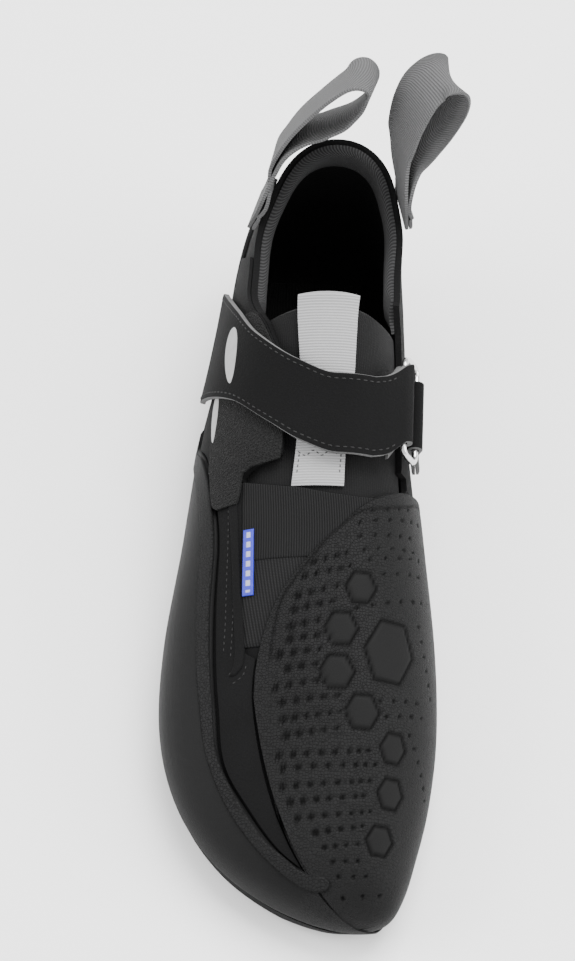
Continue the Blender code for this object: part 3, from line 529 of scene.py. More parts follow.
# %% Cloth
def woven(name, dark, light, across, along, slant=0.0, depth=0.00025, fuzz=0.35):
    """Woven cloth: ribs of the two pitches given across and along the piece, at a slant if asked."""
    made = Finish(name, Sheen_Weight=0.02, Sheen_Roughness=0.5, Specular_IOR_Level=0.06)
    u, v = made.cloth()
    fibres = made.noise(0.0004, 2.0)
    clouds = made.noise(0.012, 2.0)
    weave = None
    if across:
        weave = (u + v * slant).wave(across)
    if along:
        ribs = (v + u * slant * -0.2).wave(along)
        weave = ribs if weave is None else weave * 0.6 + ribs * weave * 0.4
    level = weave * (1 - fuzz) + fibres * fuzz * 0.7 + clouds * fuzz * 0.3
    colour = made.mix(level, grey(dark), grey(light, 0.02))
    return made.finish(colour, 0.85 + 0.1 * clouds, level, depth)


def pile(name, dark, light):
    """The fuzzy half of the closing: a mat of tiny loops."""
    made = Finish(
        name, Roughness=0.95, Sheen_Weight=0.02, Sheen_Roughness=0.5, Specular_IOR_Level=0.05)
    loops = {"Vector": made.place(), "Scale": 1 / 0.0006}
    curl = made.node("ShaderNodeTexVoronoi", {}, loops)
    fuzz = made.noise(0.0006, 3.0)
    level = (curl * 0.7 + fuzz * 0.6).math("MULTIPLY", 1.0, clamp=True)
    return made.finish(made.mix(level, grey(dark), grey(light)), None, level, 0.0008)


vamp_knit = woven("vamp_knit", 0.003, 0.015, None, 0.0008)
vamp_elastic = woven("vamp_elastic", 0.004, 0.018, 0.0010, 0.0009, slant=0.15)
tongue_cloth = woven("tongue_cloth", 0.005, 0.014, 0.0009, 0.0009, fuzz=0.7)
twill_lining = woven("twill_lining", 0.010, 0.045, 0.0011, None, slant=0.9)
light_webbing = woven("light_webbing", 0.22, 0.34, None, 0.0009, fuzz=0.3, depth=0.00015)
grey_webbing = woven("grey_webbing", 0.060, 0.115, None, 0.0009, depth=0.0003)
inner_lining = woven("inner_lining", 0.004, 0.010, 0.0012, 0.0012)
black_pile = pile("black_pile", 0.003, 0.016)
print("cloth ready")


# %% Metal, thread, label and print
def plain(name, dark, light, size, roughness, **constants):
    made = Finish(name, Roughness=roughness, **constants)
    colour = made.mix(made.noise(size, 3.0), dark, light)
    return made.finish(colour, None, made.noise(size * 0.2), 0.00004)


nickel = plain("nickel", grey(0.50), grey(0.72), 0.003, 0.24, Metallic=1.0)
black_thread = plain("black_thread", grey(0.0015), grey(0.005), 0.0006, 0.8)
grey_thread = plain("grey_thread", grey(0.030), grey(0.060), 0.0006, 0.7)
pale_print = plain("pale_print", grey(0.20), grey(0.28), 0.002, 0.6)


def label_cloth():
    made = Finish("label_cloth", Roughness=0.55)
    u, v = made.cloth()
    bars = (1 - v.wave(0.0032)).below(0.62, 0.12) * (u * -1.0 + 0.0032).below(0.0020, 0.0004)
    inside = made.mark("edge").below(0.0009, 0.0003)
    blue = made.mix(made.noise(0.0008), (0.006, 0.010, 0.26, 1.0), (0.016, 0.022, 0.38, 1.0))
    colour = made.mix(bars * (1 - inside) * 0.7, blue, grey(0.40))
    return made.finish(colour, None, made.noise(0.0005), 0.00012)


blue_label = label_cloth()
print("finishes", len(bpy.data.materials))

# %% [markdown]
# The upper is one skin over the whole foot, open at the collar, the throat and underneath. It is a
# sock of fine rows closed round the foot, and the cutters open it.

# %% The upper
def layer(name, stations, low, high):
    girths = np.linspace(0, 6, 145)
    points, normals = on_form(stations[:, None], girths[None, :])
    return plate(name, points, normals, low, high)


upper_rows = np.concatenate([np.linspace(0, 2, 16)[:-1], np.linspace(2, 15, 125)])
upper = carve(layer("upper", upper_rows, -0.0020, 0.0), (collar, throat, hem, window))
wear(upper, black_suede, "suede", "upper")


# %% [markdown]
# The rubber is lasted round the upper. The rand covers the edge of the foot and most of the outer
# side, the heel cup the heel, and the moulded patch the toes. Their edges come from short tables of
# girths, so the seams meet as they do on the shoe.

# %% Edges of the rubber
GAP = 0.0003
SEAM = 1.5 * GAP / (BALL_WIDTH / 2)
RUBBER = (
    (2.20, 2.00, 5.53), (2.70, 2.00, 5.45), (3.50, 2.00, 5.40), (4.20, 2.00, 5.36),
    (5.00, 2.00, 5.39), (6.60, 2.00, 5.40), (7.30, 2.00, 5.35), (7.66, 2.00, 5.25),
    (7.95, 1.78, 5.05), (8.30, 1.64, 4.86), (9.00, 1.55, 4.68), (10.00, 1.42, 4.60),
    (11.00, 1.38, 4.62), (12.00, 1.52, 4.48), (12.90, 1.85, 4.15),
)
PATCH_EDGE = (
    (2.000, 0.60), (4.000, 0.60), (4.600, 0.92), (5.250, 1.42), (5.480, 1.82), (5.552, 2.10),
    (5.562, 3.50), (5.575, 5.00), (5.600, 5.42), (5.635, 5.75), (5.700, 6.10), (5.810, 6.42),
    (6.000, 6.80), (6.280, 7.14), (6.620, 7.33), (7.000, 7.44), (7.600, 7.52), (8.000, 7.56),
)
rubber_medial, rubber_lateral = table_curves(RUBBER)
patch_reach = table_curves(PATCH_EDGE)[0]
reach_girths = np.linspace(4.0, 8.0, 1200)
reach_stations = patch_reach(reach_girths)


def patch_side(station):
    """The girth of the patch's edge at this station, on the outer side and over the vamp."""
    return np.interp(station, reach_stations, reach_girths)


def rubber_edges(station):
    clear = 1.5 * GAP / (0.02 * LENGTH * np.maximum(station, 1.0))
    return rubber_medial(station), np.minimum(rubber_lateral(station), patch_side(station - clear))


print("edges of the rubber ready")

# %% Heights over the form
RUBBER_TOP, RUBBER_RIM = 0.0020, 0.0012
HEIGHTS = {
    # piece: underside, top, and how far its rim is rounded
    "vamp_elastic": (0.00005, 0.00075, 0.0004), "vamp_band": (0.0001, 0.0012, 0.0006),
    "lateral_panel": (0.0003, 0.0013, 0.0), "folded_edge": (0.0008, 0.0020, 0.0006),
    "tongue": (-0.0043, -0.0023, 0.0009), "tongue_tab": (-0.0017, -0.0006, 0.0003),
    "label": (0.0009, 0.0019, 0.0003), "insole": (-0.0045, -0.0025, 0.0004),
    "pile_patch": (0.0016, 0.0026, 0.0),
}
PANEL_TOP, PILE_TOP, TAB_TOP = (
    HEIGHTS[name][1] for name in ("lateral_panel", "pile_patch", "tongue_tab"))
# The air between a ribbon and what it lies on
LAY = 0.0005
print("heights", len(HEIGHTS))

# %% Rand and heel cup
rand_rows = np.concatenate([np.linspace(0.72, 2.3, 30)[:-1], np.linspace(2.3, 8.30, 150)])
rand_shares = np.concatenate([
    np.linspace(0, 0.55, 24)[:-1], np.linspace(0.55, 0.98, 30), (0.985, 0.99, 0.995, 1.0)])
rand_rim = np.interp(rand_rows, (1.9, 2.4), (0.0001, RUBBER_RIM))[:, None]


def rand_edges(station):
    """The rand runs a little way under the toe patch, so that no gap shows between them."""
    medial, lateral = rubber_edges(station)
    return medial, lateral + np.interp(station, (2.10, 2.30), (0.06, 0.0))


rand = between(
    "rand", rand_rows, rand_edges(rand_rows), rand_shares, GAP, RUBBER_TOP, rand_rim,
    (False, False, False, True))
wear(rand, rand_rubber, "rubber", "rand")

cup_rows = np.concatenate([np.linspace(8.32, 12.7, 90)[:-1], np.linspace(12.7, 12.9, 8)])
heel_cup = between(
    "heel_cup", cup_rows, rubber_edges(cup_rows), rounded(110, 0.012), GAP, RUBBER_TOP, RUBBER_RIM,
    (False, True, True, True))
wear(heel_cup, rand_rubber, "rubber", "heel_cup")

# %% [markdown]
# Along its upper edge the rand is doubled by a narrow grip band. It ends in a round tongue on top of
# the toe patch, which is the most telling line on this shoe.

# %% The grip band
GRIP = (
    # run, outer station, outer girth, inner station, inner girth
    (0.0, 8.25, -1.30, 8.28, -1.165), (0.8, 7.92, -1.09, 7.94, -0.96),
    (1.6, 7.62, -0.87, 7.63, -0.745), (2.4, 7.25, -0.755, 7.25, -0.650),
    (3.4, 6.62, -0.695, 6.60, -0.608), (4.6, 5.90, -0.680, 5.90, -0.612),
    (5.8, 5.10, -0.678, 5.10, -0.615), (7.0, 4.30, -0.695, 4.30, -0.642),
    (8.0, 3.60, -0.690, 3.60, -0.612), (9.0, 2.95, -0.672, 2.95, -0.583),
    (9.8, 2.42, -0.645, 2.50, -0.520), (10.4, 2.02, -0.610, 2.24, -0.480),
    (10.8, 1.76, -0.545, 2.13, -0.440), (11.15, 1.64, -0.455, 2.09, -0.400),
    (11.45, 1.66, -0.365, 2.07, -0.355), (11.7, 1.76, -0.300, 2.02, -0.312),
    (11.85, 1.88, -0.276, 1.95, -0.284),
)
GRIP_UNDER, GRIP_TOP, GRIP_RIM = 0.0012, 0.0026, 0.0005
GRIP_MELT, GRIP_SHADE_WIDTH = 0.0007, 0.00045
grip_run = np.concatenate([np.linspace(0, 9.8, 110)[:-1], np.linspace(9.8, 11.85, 60)])
outer_station, outer_girth, inner_station, inner_girth = (
    curve(grip_run)[:, None] for curve in table_curves(GRIP))
grip_shares = rounded(10, 0.16)
grip_points, grip_normals = on_form(
    outer_station + (inner_station - outer_station) * grip_shares,
    outer_girth + (inner_girth - outer_girth) * grip_shares)
grip_melt = np.clip((grip_run - 10.5) / 0.5, 0, 1)[:, None] * grip_shares
# A dark line along the band's outer edge, kept as its sunk mark: painted shade of a groove at the
# rounded rim.
grip_edge_shade = np.exp(-(lengths(grip_points, 1) / GRIP_SHADE_WIDTH) ** 2)
grip_band = plate(
    "grip_band", grip_points, grip_normals, GRIP_UNDER, GRIP_TOP - GRIP_MELT * grip_melt, GRIP_RIM,
    marks={"sunk": grip_edge_shade, "plain": np.zeros_like(grip_edge_shade)})
wear(grip_band, grip_rubber, "rubber")


# %% Soles
SOLE_GIRTHS, SOLE_RIM = (1.90, 4.10), 0.0010
SOLE_TIP, TIP_SHARE = 0.9, 0.45


def sole(name, start, end, top=0.0023, thickness=0.0035):
    """A sole plate hangs straight down from the rubber, and is flat where it meets the floor."""
    stations, shares = rounded(90, 0.012) * (end - start) + start, rounded(60, 0.012)
    girths = SOLE_GIRTHS[0] + (SOLE_GIRTHS[1] - SOLE_GIRTHS[0]) * shares
    points, normals = on_form(stations[:, None], girths[None, :])
    over = points + normals * top
    down = np.zeros_like(points)
    down[..., 2] = -1.0
    thin = np.interp(stations, (start, start + SOLE_TIP), (TIP_SHARE, 1.0))[:, None]
    depth = np.minimum(thickness * thin, over[..., 2])
    return plate(name, over, down, 0.0, depth, SOLE_RIM)


wear(sole("outsole", 0.90, 7.75), sole_rubber, "rubber", "outsole")
wear(sole("heel_sole", 8.75, 11.35), sole_rubber, "rubber", "heel_sole")

# %% [markdown]
# The toe patch carries the relief: eight hexagons with a groove round each, rows of round dimples
# that shrink towards the big toe, and a fine line inside its edge. They are sunk into a fine polar
# grid whose centre is the toe tip, and the depth of each point is kept as an attribute that darkens
# the rubber's colour in the hollows as painted shade.

# %% Relief of the toe patch
HEXAGONS = (
    # station, girth, width and length in mm
    (6.22, 0.109, 9.6, 9.8), (5.79, -0.019, 10.5, 10.4), (5.31, -0.045, 11.1, 10.6),
    (5.59, 0.284, 16.4, 19.6), (4.84, 0.090, 10.7, 10.8), (4.42, 0.318, 8.4, 9.5),
    (3.74, 0.314, 8.3, 9.5), (2.87, 0.231, 8.3, 9.0),
)
DIMPLES = (
    # first station and girth, last station and girth, first and last radius in mm, count
    (6.45, -0.126, 6.54, 0.033, 0.88, 0.59, 4), (6.31, -0.172, 6.42, 0.051, 0.88, 0.49, 5),
    (6.12, -0.206, 6.22, -0.030, 1.17, 0.68, 4), (5.98, -0.224, 6.07, -0.050, 1.17, 0.68, 4),
    (5.81, -0.240, 5.87, -0.120, 1.17, 0.88, 3), (5.67, -0.245, 5.71, -0.127, 1.17, 0.78, 3),
    (5.50, -0.296, 5.56, -0.115, 1.27, 0.68, 4), (5.34, -0.262, 5.39, -0.139, 1.27, 0.78, 3),
    (5.12, -0.321, 5.20, -0.138, 0.98, 0.78, 4), (4.94, -0.300, 5.03, -0.049, 1.08, 0.68, 5),
    (4.73, -0.302, 4.83, -0.036, 1.08, 0.49, 6), (4.52, -0.298, 4.62, -0.063, 1.17, 0.59, 5),
    (4.25, -0.348, 4.34, 0.126, 0.98, 0.68, 8), (4.07, -0.342, 4.15, 0.180, 0.98, 0.59, 8),
    (3.79, -0.364, 3.90, 0.134, 0.98, 0.59, 8), (3.54, -0.347, 3.66, 0.078, 1.08, 0.59, 7),
    (3.26, -0.334, 3.40, 0.133, 0.98, 0.49, 7), (2.99, -0.254, 3.13, 0.054, 1.08, 0.49, 5),
    (2.69, -0.224, 2.77, -0.002, 0.78, 0.49, 4), (2.37, -0.194, 2.40, -0.005, 0.68, 0.49, 3),
    (2.01, -0.183, 2.04, 0.092, 0.59, 0.49, 3), (1.43, -0.207, 1.56, 0.334, 0.59, 0.45, 3),
    (6.97, 0.210, 7.12, 0.495, 0.49, 0.49, 4), (6.84, 0.124, 7.07, 0.625, 0.49, 0.49, 6),
    (6.71, 0.120, 6.85, 0.498, 0.49, 0.45, 5), (6.59, 0.143, 6.73, 0.518, 0.49, 0.45, 5),
    (6.50, 0.176, 6.69, 0.583, 0.49, 0.45, 5), (6.39, 0.258, 6.52, 0.561, 0.49, 0.45, 4),
    (6.01, 0.075, 6.27, 0.571, 0.59, 0.45, 6), (5.00, 0.216, 5.10, 0.499, 0.59, 0.45, 4),
    (4.82, 0.260, 4.95, 0.551, 0.59, 0.45, 4), (5.99, 0.517, 5.27, 0.661, 0.45, 0.45, 6),
    (4.66, 0.444, 3.90, 0.721, 0.45, 0.45, 6),
)
INNER_LINE = (
    (7.32, 0.85), (7.27, 0.68), (7.12, 0.45), (7.03, 0.30), (6.96, 0.16), (6.85, 0.05),
    (6.69, -0.05), (6.51, -0.13), (6.28, -0.22), (6.08, -0.28), (5.80, -0.315), (5.45, -0.34),
)
DIMPLE = 1.2 * MM
GROOVE, FACE_EDGE, FINE_LINE = 0.00050, 0.0006, 0.0005


def hexagon_distance(points, station, girth, width, length):
    """How far outside a flat-topped hexagon on the form each point lies, in metres."""
    centre, out = on_form(station, girth)
    right = np.cross((0, 1, 0), out)
    right /= np.linalg.norm(right)
    ahead = np.cross(out, right)
    x = np.abs((points - centre) @ right) / (width * MM / 2)
    y = np.abs((points - centre) @ ahead) / (length * MM / 2)
    beyond = np.abs((points - centre) @ out) > 0.010
    inside = np.maximum(x + 0.5 * y, y) - 1
    return np.where(beyond, 1.0, inside * min(width, length) * MM / 2)


def patch_relief(points):
    """How deep each point is sunk, and where the flat faces of the hexagons are, from 0 to 1."""
    sunk, plain = np.zeros(points.shape[:2]), np.zeros(points.shape[:2])
    for row in HEXAGONS:
        distance = hexagon_distance(points, *row)
        sunk = np.maximum(sunk, np.exp(-(distance / GROOVE) ** 2))
        plain = np.maximum(plain, np.clip(0.5 - distance / FACE_EDGE, 0, 1))
    for s0, g0, s1, g1, r0, r1, count in DIMPLES:
        for t in np.linspace(0, 1, count):
            centre = on_form(s0 + (s1 - s0) * t, g0 + (g1 - g0) * t)[0]
            distance = np.linalg.norm(points - centre, axis=2) / ((r0 + (r1 - r0) * t) * DIMPLE)
            sunk = np.maximum(sunk, np.clip(1.35 - distance ** 2, 0, 1))
    run, stations, girths = np.arange(len(INNER_LINE)), *zip(*INNER_LINE)
    fine = np.linspace(0, len(INNER_LINE) - 1, 160)
    line = on_form(smooth_curve(run, stations)(fine), smooth_curve(run, girths)(fine))[0]
    nearest = np.full(points.shape[:2], 1.0)
    for spot in line:
        nearest = np.minimum(nearest, np.linalg.norm(points - spot, axis=2))
    return np.maximum(sunk, 0.7 * np.exp(-(nearest / FINE_LINE) ** 2)), plain


# %% The toe patch
PATCH_TOP, RELIEF = 0.0018, 0.00055
SEAM_GIRTHS = (5.545, 5.62)
patch_girths = np.concatenate([np.linspace(2.0, 5.5, 34)[:-1], np.linspace(5.5, 8.0 - SEAM, 164)])
patch_shares = np.concatenate([
    np.sqrt(np.linspace(0, 1, 226))[:-1] * 0.992, (0.9925, 0.995, 0.998, 1.0)])
patch_lap = np.interp(patch_girths, (5.35, 5.52), (0.07, 0.0))
patch_ends = patch_reach(patch_girths) + patch_lap
patch_points, patch_normals = on_form(patch_ends[:, None] * patch_shares, patch_girths[:, None])
sunk, plain_faces = patch_relief(patch_points)
patch_level = np.interp(patch_girths, SEAM_GIRTHS, (RUBBER_TOP + 0.00004, PATCH_TOP))[:, None]
patch_rim = np.interp(patch_girths, (5.545, 5.60), (0.00005, 0.0009))[:, None]
patch_height = patch_level - RELIEF * sunk
# The sunk depth also darkens the rubber's colour in the hollows: painted shade.
toe_patch = plate(
    "toe_patch", patch_points, patch_normals, GAP, patch_height, patch_rim,
    (False, False, False, True), marks={"sunk": sunk, "plain": plain_faces})
wear(toe_patch, patch_rubber, "moulded_rubber", "toe_patch")

# %% [markdown]
# Between the patch and the throat the foot is held by two bands of dark elastic cloth. The outer
# side is a panel of microsuede with a folded edge beside the throat.

# %% The vamp's two bands
vamp_rows = np.linspace(5.62, 6.56, 30)
vamp_edges = (5.52, patch_side(vamp_rows + 0.02))
elastic = between(
    "vamp_elastic", vamp_rows, vamp_edges, rounded(30, 0.02), *HEIGHTS["vamp_elastic"])
wear(elastic, vamp_elastic, "tongue_fabric")

band_girths = np.linspace(-0.475, 0.56, 60)
band_edges = (6.50, table_curves(HEM)[0](band_girths) - 0.01)
band = between(
    "vamp_band", band_girths, band_edges, rounded(20, 0.03), *HEIGHTS["vamp_band"], along=True)
wear(band, vamp_knit, "tongue_fabric")

# %% The outer panel
PANEL_EDGE = (
    (2.25, 5.600), (5.45, 5.600), (5.60, 5.530), (7.28, 5.530), (7.42, 6.100), (11.20, 6.100),
)
panel_edge = table_curves(PANEL_EDGE)[0]


def panel_edges(station):
    medial = np.minimum(panel_edge(station), patch_side(station) - SEAM)
    return rubber_edges(station)[1] + 2 * SEAM, medial


panel_rows = np.concatenate([np.linspace(2.25, 7.2, 90)[:-1], np.linspace(7.2, 11.2, 70)])
panel = between(
    "lateral_panel", panel_rows, panel_edges(panel_rows), rounded(40, 0.03),
    *HEIGHTS["lateral_panel"])
carve(panel, (collar, throat, hem))
wear(panel, black_suede, "suede", "lateral_panel")

# %% [markdown]
# Beside the throat the suede is turned over and sewn down, which shows as a thicker strip. It is a
# plate of its own, because a rounded rim says fold better than any bump in the shading.

# %% The folded strip
FOLD = (
    (5.30, -0.530, -0.500), (5.42, -0.505, -0.462), (5.62, -0.495, -0.452), (6.20, -0.502, -0.464),
    (7.12, -0.540, -0.492),
)
fold = edged("folded_edge", FOLD, 80, rounded(8, 0.2), *HEIGHTS["folded_edge"])
wear(fold, black_suede, "suede")

# %% [markdown]
# The tongue lies under the throat, with a tab of pale webbing up its middle. The lining rolls over
# the topline as a padded band. The insole closes the shoe underneath.

# %% Tongue, tab and insole
TONGUE = (
    (6.85, -0.56, 0.52), (7.60, -0.56, 0.56), (8.50, -0.54, 0.56), (9.00, -0.50, 0.53),
    (9.12, -0.48, 0.51),
)
TAB = ((7.17, -0.225, 0.045), (7.60, -0.190, 0.065), (8.30, -0.160, 0.115), (9.42, -0.155, 0.125))
LABEL = ((6.16, -0.456, -0.405), (6.80, -0.456, -0.405))
tongue = edged("tongue", TONGUE, 60, rounded(30, 0.02), *HEIGHTS["tongue"])
wear(tongue, tongue_cloth, "tongue_fabric", "tongue")
tab = edged("tongue_tab", TAB, 50, rounded(14, 0.02), *HEIGHTS["tongue_tab"])
wear(tab, light_webbing, "light_webbing", "tongue_tab")
label = edged("label", LABEL, 24, rounded(8, 0.05), *HEIGHTS["label"])
wear(label, blue_label, "blue_label", "label")

board_rows = np.linspace(1.4, 10.9, 110)
board = between("insole", board_rows, (2.15, 3.85), rounded(30, 0.02), *HEIGHTS["insole"])
wear(board, inner_lining, "insole_board", "insole")

# %% The padded collar
collar_height = table_curves(COLLAR_LINE)[0]


def collar_station(girth):
    """The station at which the topline crosses the form, for one girth."""
    stations = np.linspace(8.6, 15, 400)
    points = on_form(stations, girth)[0]
    back = (points[:, 1] + LENGTH - HEEL_REST) / LENGTH
    above = points[:, 2] - collar_height(back) * HEEL_HEIGHT
    first = int(np.argmax(above > 0))
    share = above[first - 1] / (above[first - 1] - above[first]) if first else 0.0
    return stations[max(first - 1, 0)] + share * (stations[1] - stations[0])


PAD_DEPTH = 0.0105
PAD_PROBE = 0.1
PAD_UNDER, PAD_TOP, PAD_SWELL, PAD_RIM = 0.00215, 0.0052, 0.0008, 0.0022
pad_girths = np.linspace(0.52, 5.52, 140)
pad_stations = np.array([collar_station(girth) for girth in pad_girths])
pad_down = PAD_DEPTH * rounded(14, 0.10)
pad_topline = on_form(pad_stations, pad_girths)[0]
pad_lower = on_form(pad_stations - PAD_PROBE, pad_girths)[0]
station_size = np.linalg.norm(pad_topline - pad_lower, axis=1) / PAD_PROBE
pad_points, pad_normals = on_form(
    pad_stations[:, None] - pad_down / station_size[:, None], pad_girths[:, None])
bulge = PAD_TOP + PAD_SWELL * np.sin(np.pi * pad_down / PAD_DEPTH)
padding = plate("collar_padding", pad_points, -pad_normals, PAD_UNDER, bulge, PAD_RIM)
wear(padding, twill_lining, "lining", "collar_padding")

# %% [markdown]
# The strap starts at the ring on the inner side, crosses the instep and lies on its pile patch on
# the outer side. It is one ribbon: its rows follow a table of edges, rise to the ring's bar and turn
# round it.

# %% The ring's place
STRAP = 0.0018
RING_WIRE = 0.0021
RING_LENGTH, RING_WIDTH, RING_CORNER = 0.0360, 0.0115, 0.0030
RING_GIRTH, RING_STATION = 0.385, 8.03


def unit_girth(station):
    """The length on the form of one unit of girth at this station."""
    line = on_form(station, np.linspace(0, 0.999, 40))[0]
    return float(np.linalg.norm(np.diff(line, axis=0), axis=1).sum())


ring_unit = unit_girth(RING_STATION)
ring_height = PANEL_TOP + GAP + STRAP + GAP + RING_WIRE / 2
other_girth = RING_GIRTH + (RING_WIDTH - RING_WIRE) / ring_unit
bars = lifted(RING_STATION, np.array((RING_GIRTH, other_girth)), np.full(2, ring_height))
bar_normals = on_form(RING_STATION, np.array((RING_GIRTH, other_girth)))[1]
ring_out = (bar_normals[0] + bar_normals[1]) / np.linalg.norm(bar_normals[0] + bar_normals[1])
ring_down = (bars[1] - bars[0]) / np.linalg.norm(bars[1] - bars[0])
ring_along = np.cross(ring_out, ring_down)
ring_along /= np.linalg.norm(ring_along)
ring_down = np.cross(ring_along, ring_out)
bar_half = RING_LENGTH / 2 - RING_WIRE / 2 - RING_CORNER
print("ring", np.round(bars / MM, 1).tolist())

# %% The strap
STRAP_EDGES = (
    (-1.02, 8.72, 10.20), (-0.98, 8.56, 10.42), (-0.80, 8.36, 10.22), (-0.62, 8.18, 9.86),
    (-0.48, 8.02, 9.42), (-0.32, 7.74, 8.78), (-0.16, 7.52, 8.36), (0.00, 7.42, 8.18),
    (0.24, 7.42, 8.20), (0.42, 7.66, 8.38),
)
STRAP_RISE = ((0.012, 0.0), (0.009, 0.12), (0.006, 0.36), (0.003, 0.74))
strap_front, strap_back = table_curves(STRAP_EDGES)
strap_shares = rounded(22, 0.03)
LYING = PILE_TOP + LAY + STRAP / 2
# Where the strap starts to rise, and where its last turn into the ring begins, from the bar
RISE, LAST_TURN = 0.012, 0.003


def lying_row(girth, height, outward):
    stations = strap_front(girth) + (strap_back(girth) - strap_front(girth)) * strap_shares
    points, normals = on_form(stations, girth)
    return points + normals * height, normals * outward


def bar_row(angle, radius, bar, shares, half=bar_half):
    turn = math.radians(angle)
    way = ring_down * math.cos(turn) + ring_out * math.sin(turn)
    centres = bars[bar] + way * radius + np.outer(2 * shares - 1, ring_along) * half
    return centres, np.tile(way, (len(shares), 1))


strap_rows = [
    lying_row(girth, LYING, 1) for girth in np.linspace(-1.02, RING_GIRTH - RISE / ring_unit, 76)]
fold_radius = RING_WIRE / 2 + GAP + STRAP / 2
rise_curve = table_curves(STRAP_RISE[::-1])[0]
for before in np.linspace(RISE, 0.0, 13)[1:-1]:
    rise = float(rise_curve(before)) if before >= LAST_TURN else 1 - 0.26 * (before / LAST_TURN)
    low_points, low_ways = lying_row(RING_GIRTH - before / ring_unit, LYING, 1)
    high_points, high_ways = bar_row(90, fold_radius, 0, strap_shares)
    ways = low_ways + (high_ways - low_ways) * rise
    ways /= np.linalg.norm(ways, axis=1, keepdims=True)
    strap_rows.append((low_points + (high_points - ring_down * before - low_points) * rise, ways))
strap_rows += [bar_row(angle, fold_radius, 0, strap_shares) for angle in np.linspace(90, -90, 19)]
strap_rows.append(lying_row(RING_GIRTH - RISE / 2 / ring_unit, PANEL_TOP + LAY + STRAP / 2, -1))
strap_points, strap_ways = (np.array(part) for part in zip(*strap_rows))
strap = plate("strap", strap_points, strap_ways, -STRAP / 2, STRAP / 2, 0.0005)
wear(strap, strap_suede, "strap_suede", "strap")


# %% Ring and ring tab
def tube(name, line, radius, around=12):
    """A closed ring of round wire."""
    line = np.asarray(line)
    run = np.roll(line, -1, 0) - np.roll(line, 1, 0)
    run /= np.linalg.norm(run, axis=1, keepdims=True)
    side = np.cross(run, ring_out)
    angles = np.linspace(0, 2 * math.pi, around + 1)
    ways = side[:, None] * np.cos(angles)[None, :, None] + ring_out * np.sin(angles)[None, :, None]
    points = line[:, None] + ways * radius
    points = np.concatenate([points, points[:1]])
    bm = bmesh.new()
    bmesh.ops.create_grid(bm, x_segments=around, y_segments=len(line), size=0.5)
    for vert in bm.verts:
        vert.co = points[round((vert.co.y + 0.5) * len(line)), round((vert.co.x + 0.5) * around)]
    bmesh.ops.remove_doubles(bm, verts=bm.verts, dist=1e-6)
    bmesh.ops.recalc_face_normals(bm, faces=bm.faces)
    return add_piece(name, bm)


ring_middle = (bars[0] + bars[1]) / 2
half_width = np.linalg.norm(bars[1] - bars[0]) / 2 - RING_CORNER
half_length = (RING_LENGTH - RING_WIRE) / 2 - RING_CORNER
ring_line = []
for turn, (side, end) in enumerate(((1, 1), (-1, 1), (-1, -1), (1, -1))):
    corner = ring_middle + ring_down * side * half_width + ring_along * end * half_length
    for angle in np.radians(np.linspace(turn * 90, turn * 90 + 90, 9)):
        way = ring_down * math.cos(angle) + ring_along * math.sin(angle)
        ring_line.append(corner + way * RING_CORNER)
wear(tube("strap_ring", ring_line, RING_WIRE / 2), nickel, "steel", "strap_ring")

WEBBING = 0.0012
tab_half = bar_half - 0.002
tab_shares = rounded(12, 0.05)
tab_under = LAY + WEBBING / 2
tab_over = tab_under + WEBBING + GAP


def tab_row(past, height, outward):
    girth = other_girth + past / ring_unit
    stations = RING_STATION + tab_half * (2 * tab_shares - 1) / (0.02 * LENGTH * RING_STATION)
    points, normals = on_form(stations, girth)
    return points + normals * height, normals * outward


tab_rows = [tab_row(past, tab_over, 1) for past in np.linspace(0.020, 0.008, 8)]
tab_rows += [
    bar_row(angle, RING_WIRE / 2 + GAP + WEBBING / 2, 1, tab_shares, tab_half)
    for angle in np.linspace(60, 270, 22)]
tab_rows += [tab_row(past, tab_under, -1) for past in np.linspace(0.008, 0.020, 8)]
tab_points, tab_ways = (np.array(part) for part in zip(*tab_rows))
ring_tab = plate("ring_tab", tab_points, tab_ways, -WEBBING / 2, WEBBING / 2, 0.0003)
wear(ring_tab, strap_suede, "strap_suede", "ring_tab")

# %% The pile patch
PILE = (
    (7.06, -0.600, -0.490), (7.11, -0.628, -0.478), (7.34, -0.650, -0.450), (7.50, -0.665, 0.100),
    (8.40, -0.700, 0.100), (9.30, -0.820, 0.100),
)
pile_patch = edged("pile_patch", PILE, 60, rounded(30, 0.03), *HEIGHTS["pile_patch"])
carve(pile_patch, (collar, throat))
wear(pile_patch, black_pile, "pile", "pile_patch")

# %% [markdown]
# Two pull loops of grey webbing stand at the heel. Each is one ribbon, sewn down at both ends and
# bent through a few points in the air. Its width direction turns with it.

# %% The pull loops
LOOP_WIDTH = 0.0155
LATERAL_SEWN = ((12.42, 4.74), (12.80, 4.67), (13.20, 4.60))
LATERAL_LOOP = (
    (-0.222, 0.934, 1.055, 0.18, 0.95, -0.25),
    (-0.191, 0.941, 1.149, 0.22, 0.94, -0.25),
    (-0.146, 0.947, 1.244, 0.24, 0.94, -0.25),
    (-0.086, 0.953, 1.332, 0.27, 0.93, -0.25),
    (-0.019, 0.959, 1.415, 0.28, 0.93, -0.25),
    (0.039, 0.965, 1.458, 0.29, 0.92, -0.25),
    (0.088, 0.969, 1.447, 0.30, 0.92, -0.25),
    (0.115, 0.969, 1.387, 0.29, 0.92, -0.25),
    (0.099, 0.965, 1.320, 0.28, 0.93, -0.25),
    (0.046, 0.959, 1.251, 0.27, 0.93, -0.25),
    (-0.036, 0.951, 1.212, 0.24, 0.94, -0.25),
    (-0.116, 0.943, 1.185, 0.22, 0.94, -0.25),
    (-0.175, 0.934, 1.137, 0.18, 0.95, -0.25),
    (-0.210, 0.926, 1.056, 0.15, 0.96, -0.25),
)
MEDIAL_SEWN = ((12.75, 1.32), (13.10, 1.36), (13.45, 1.40))
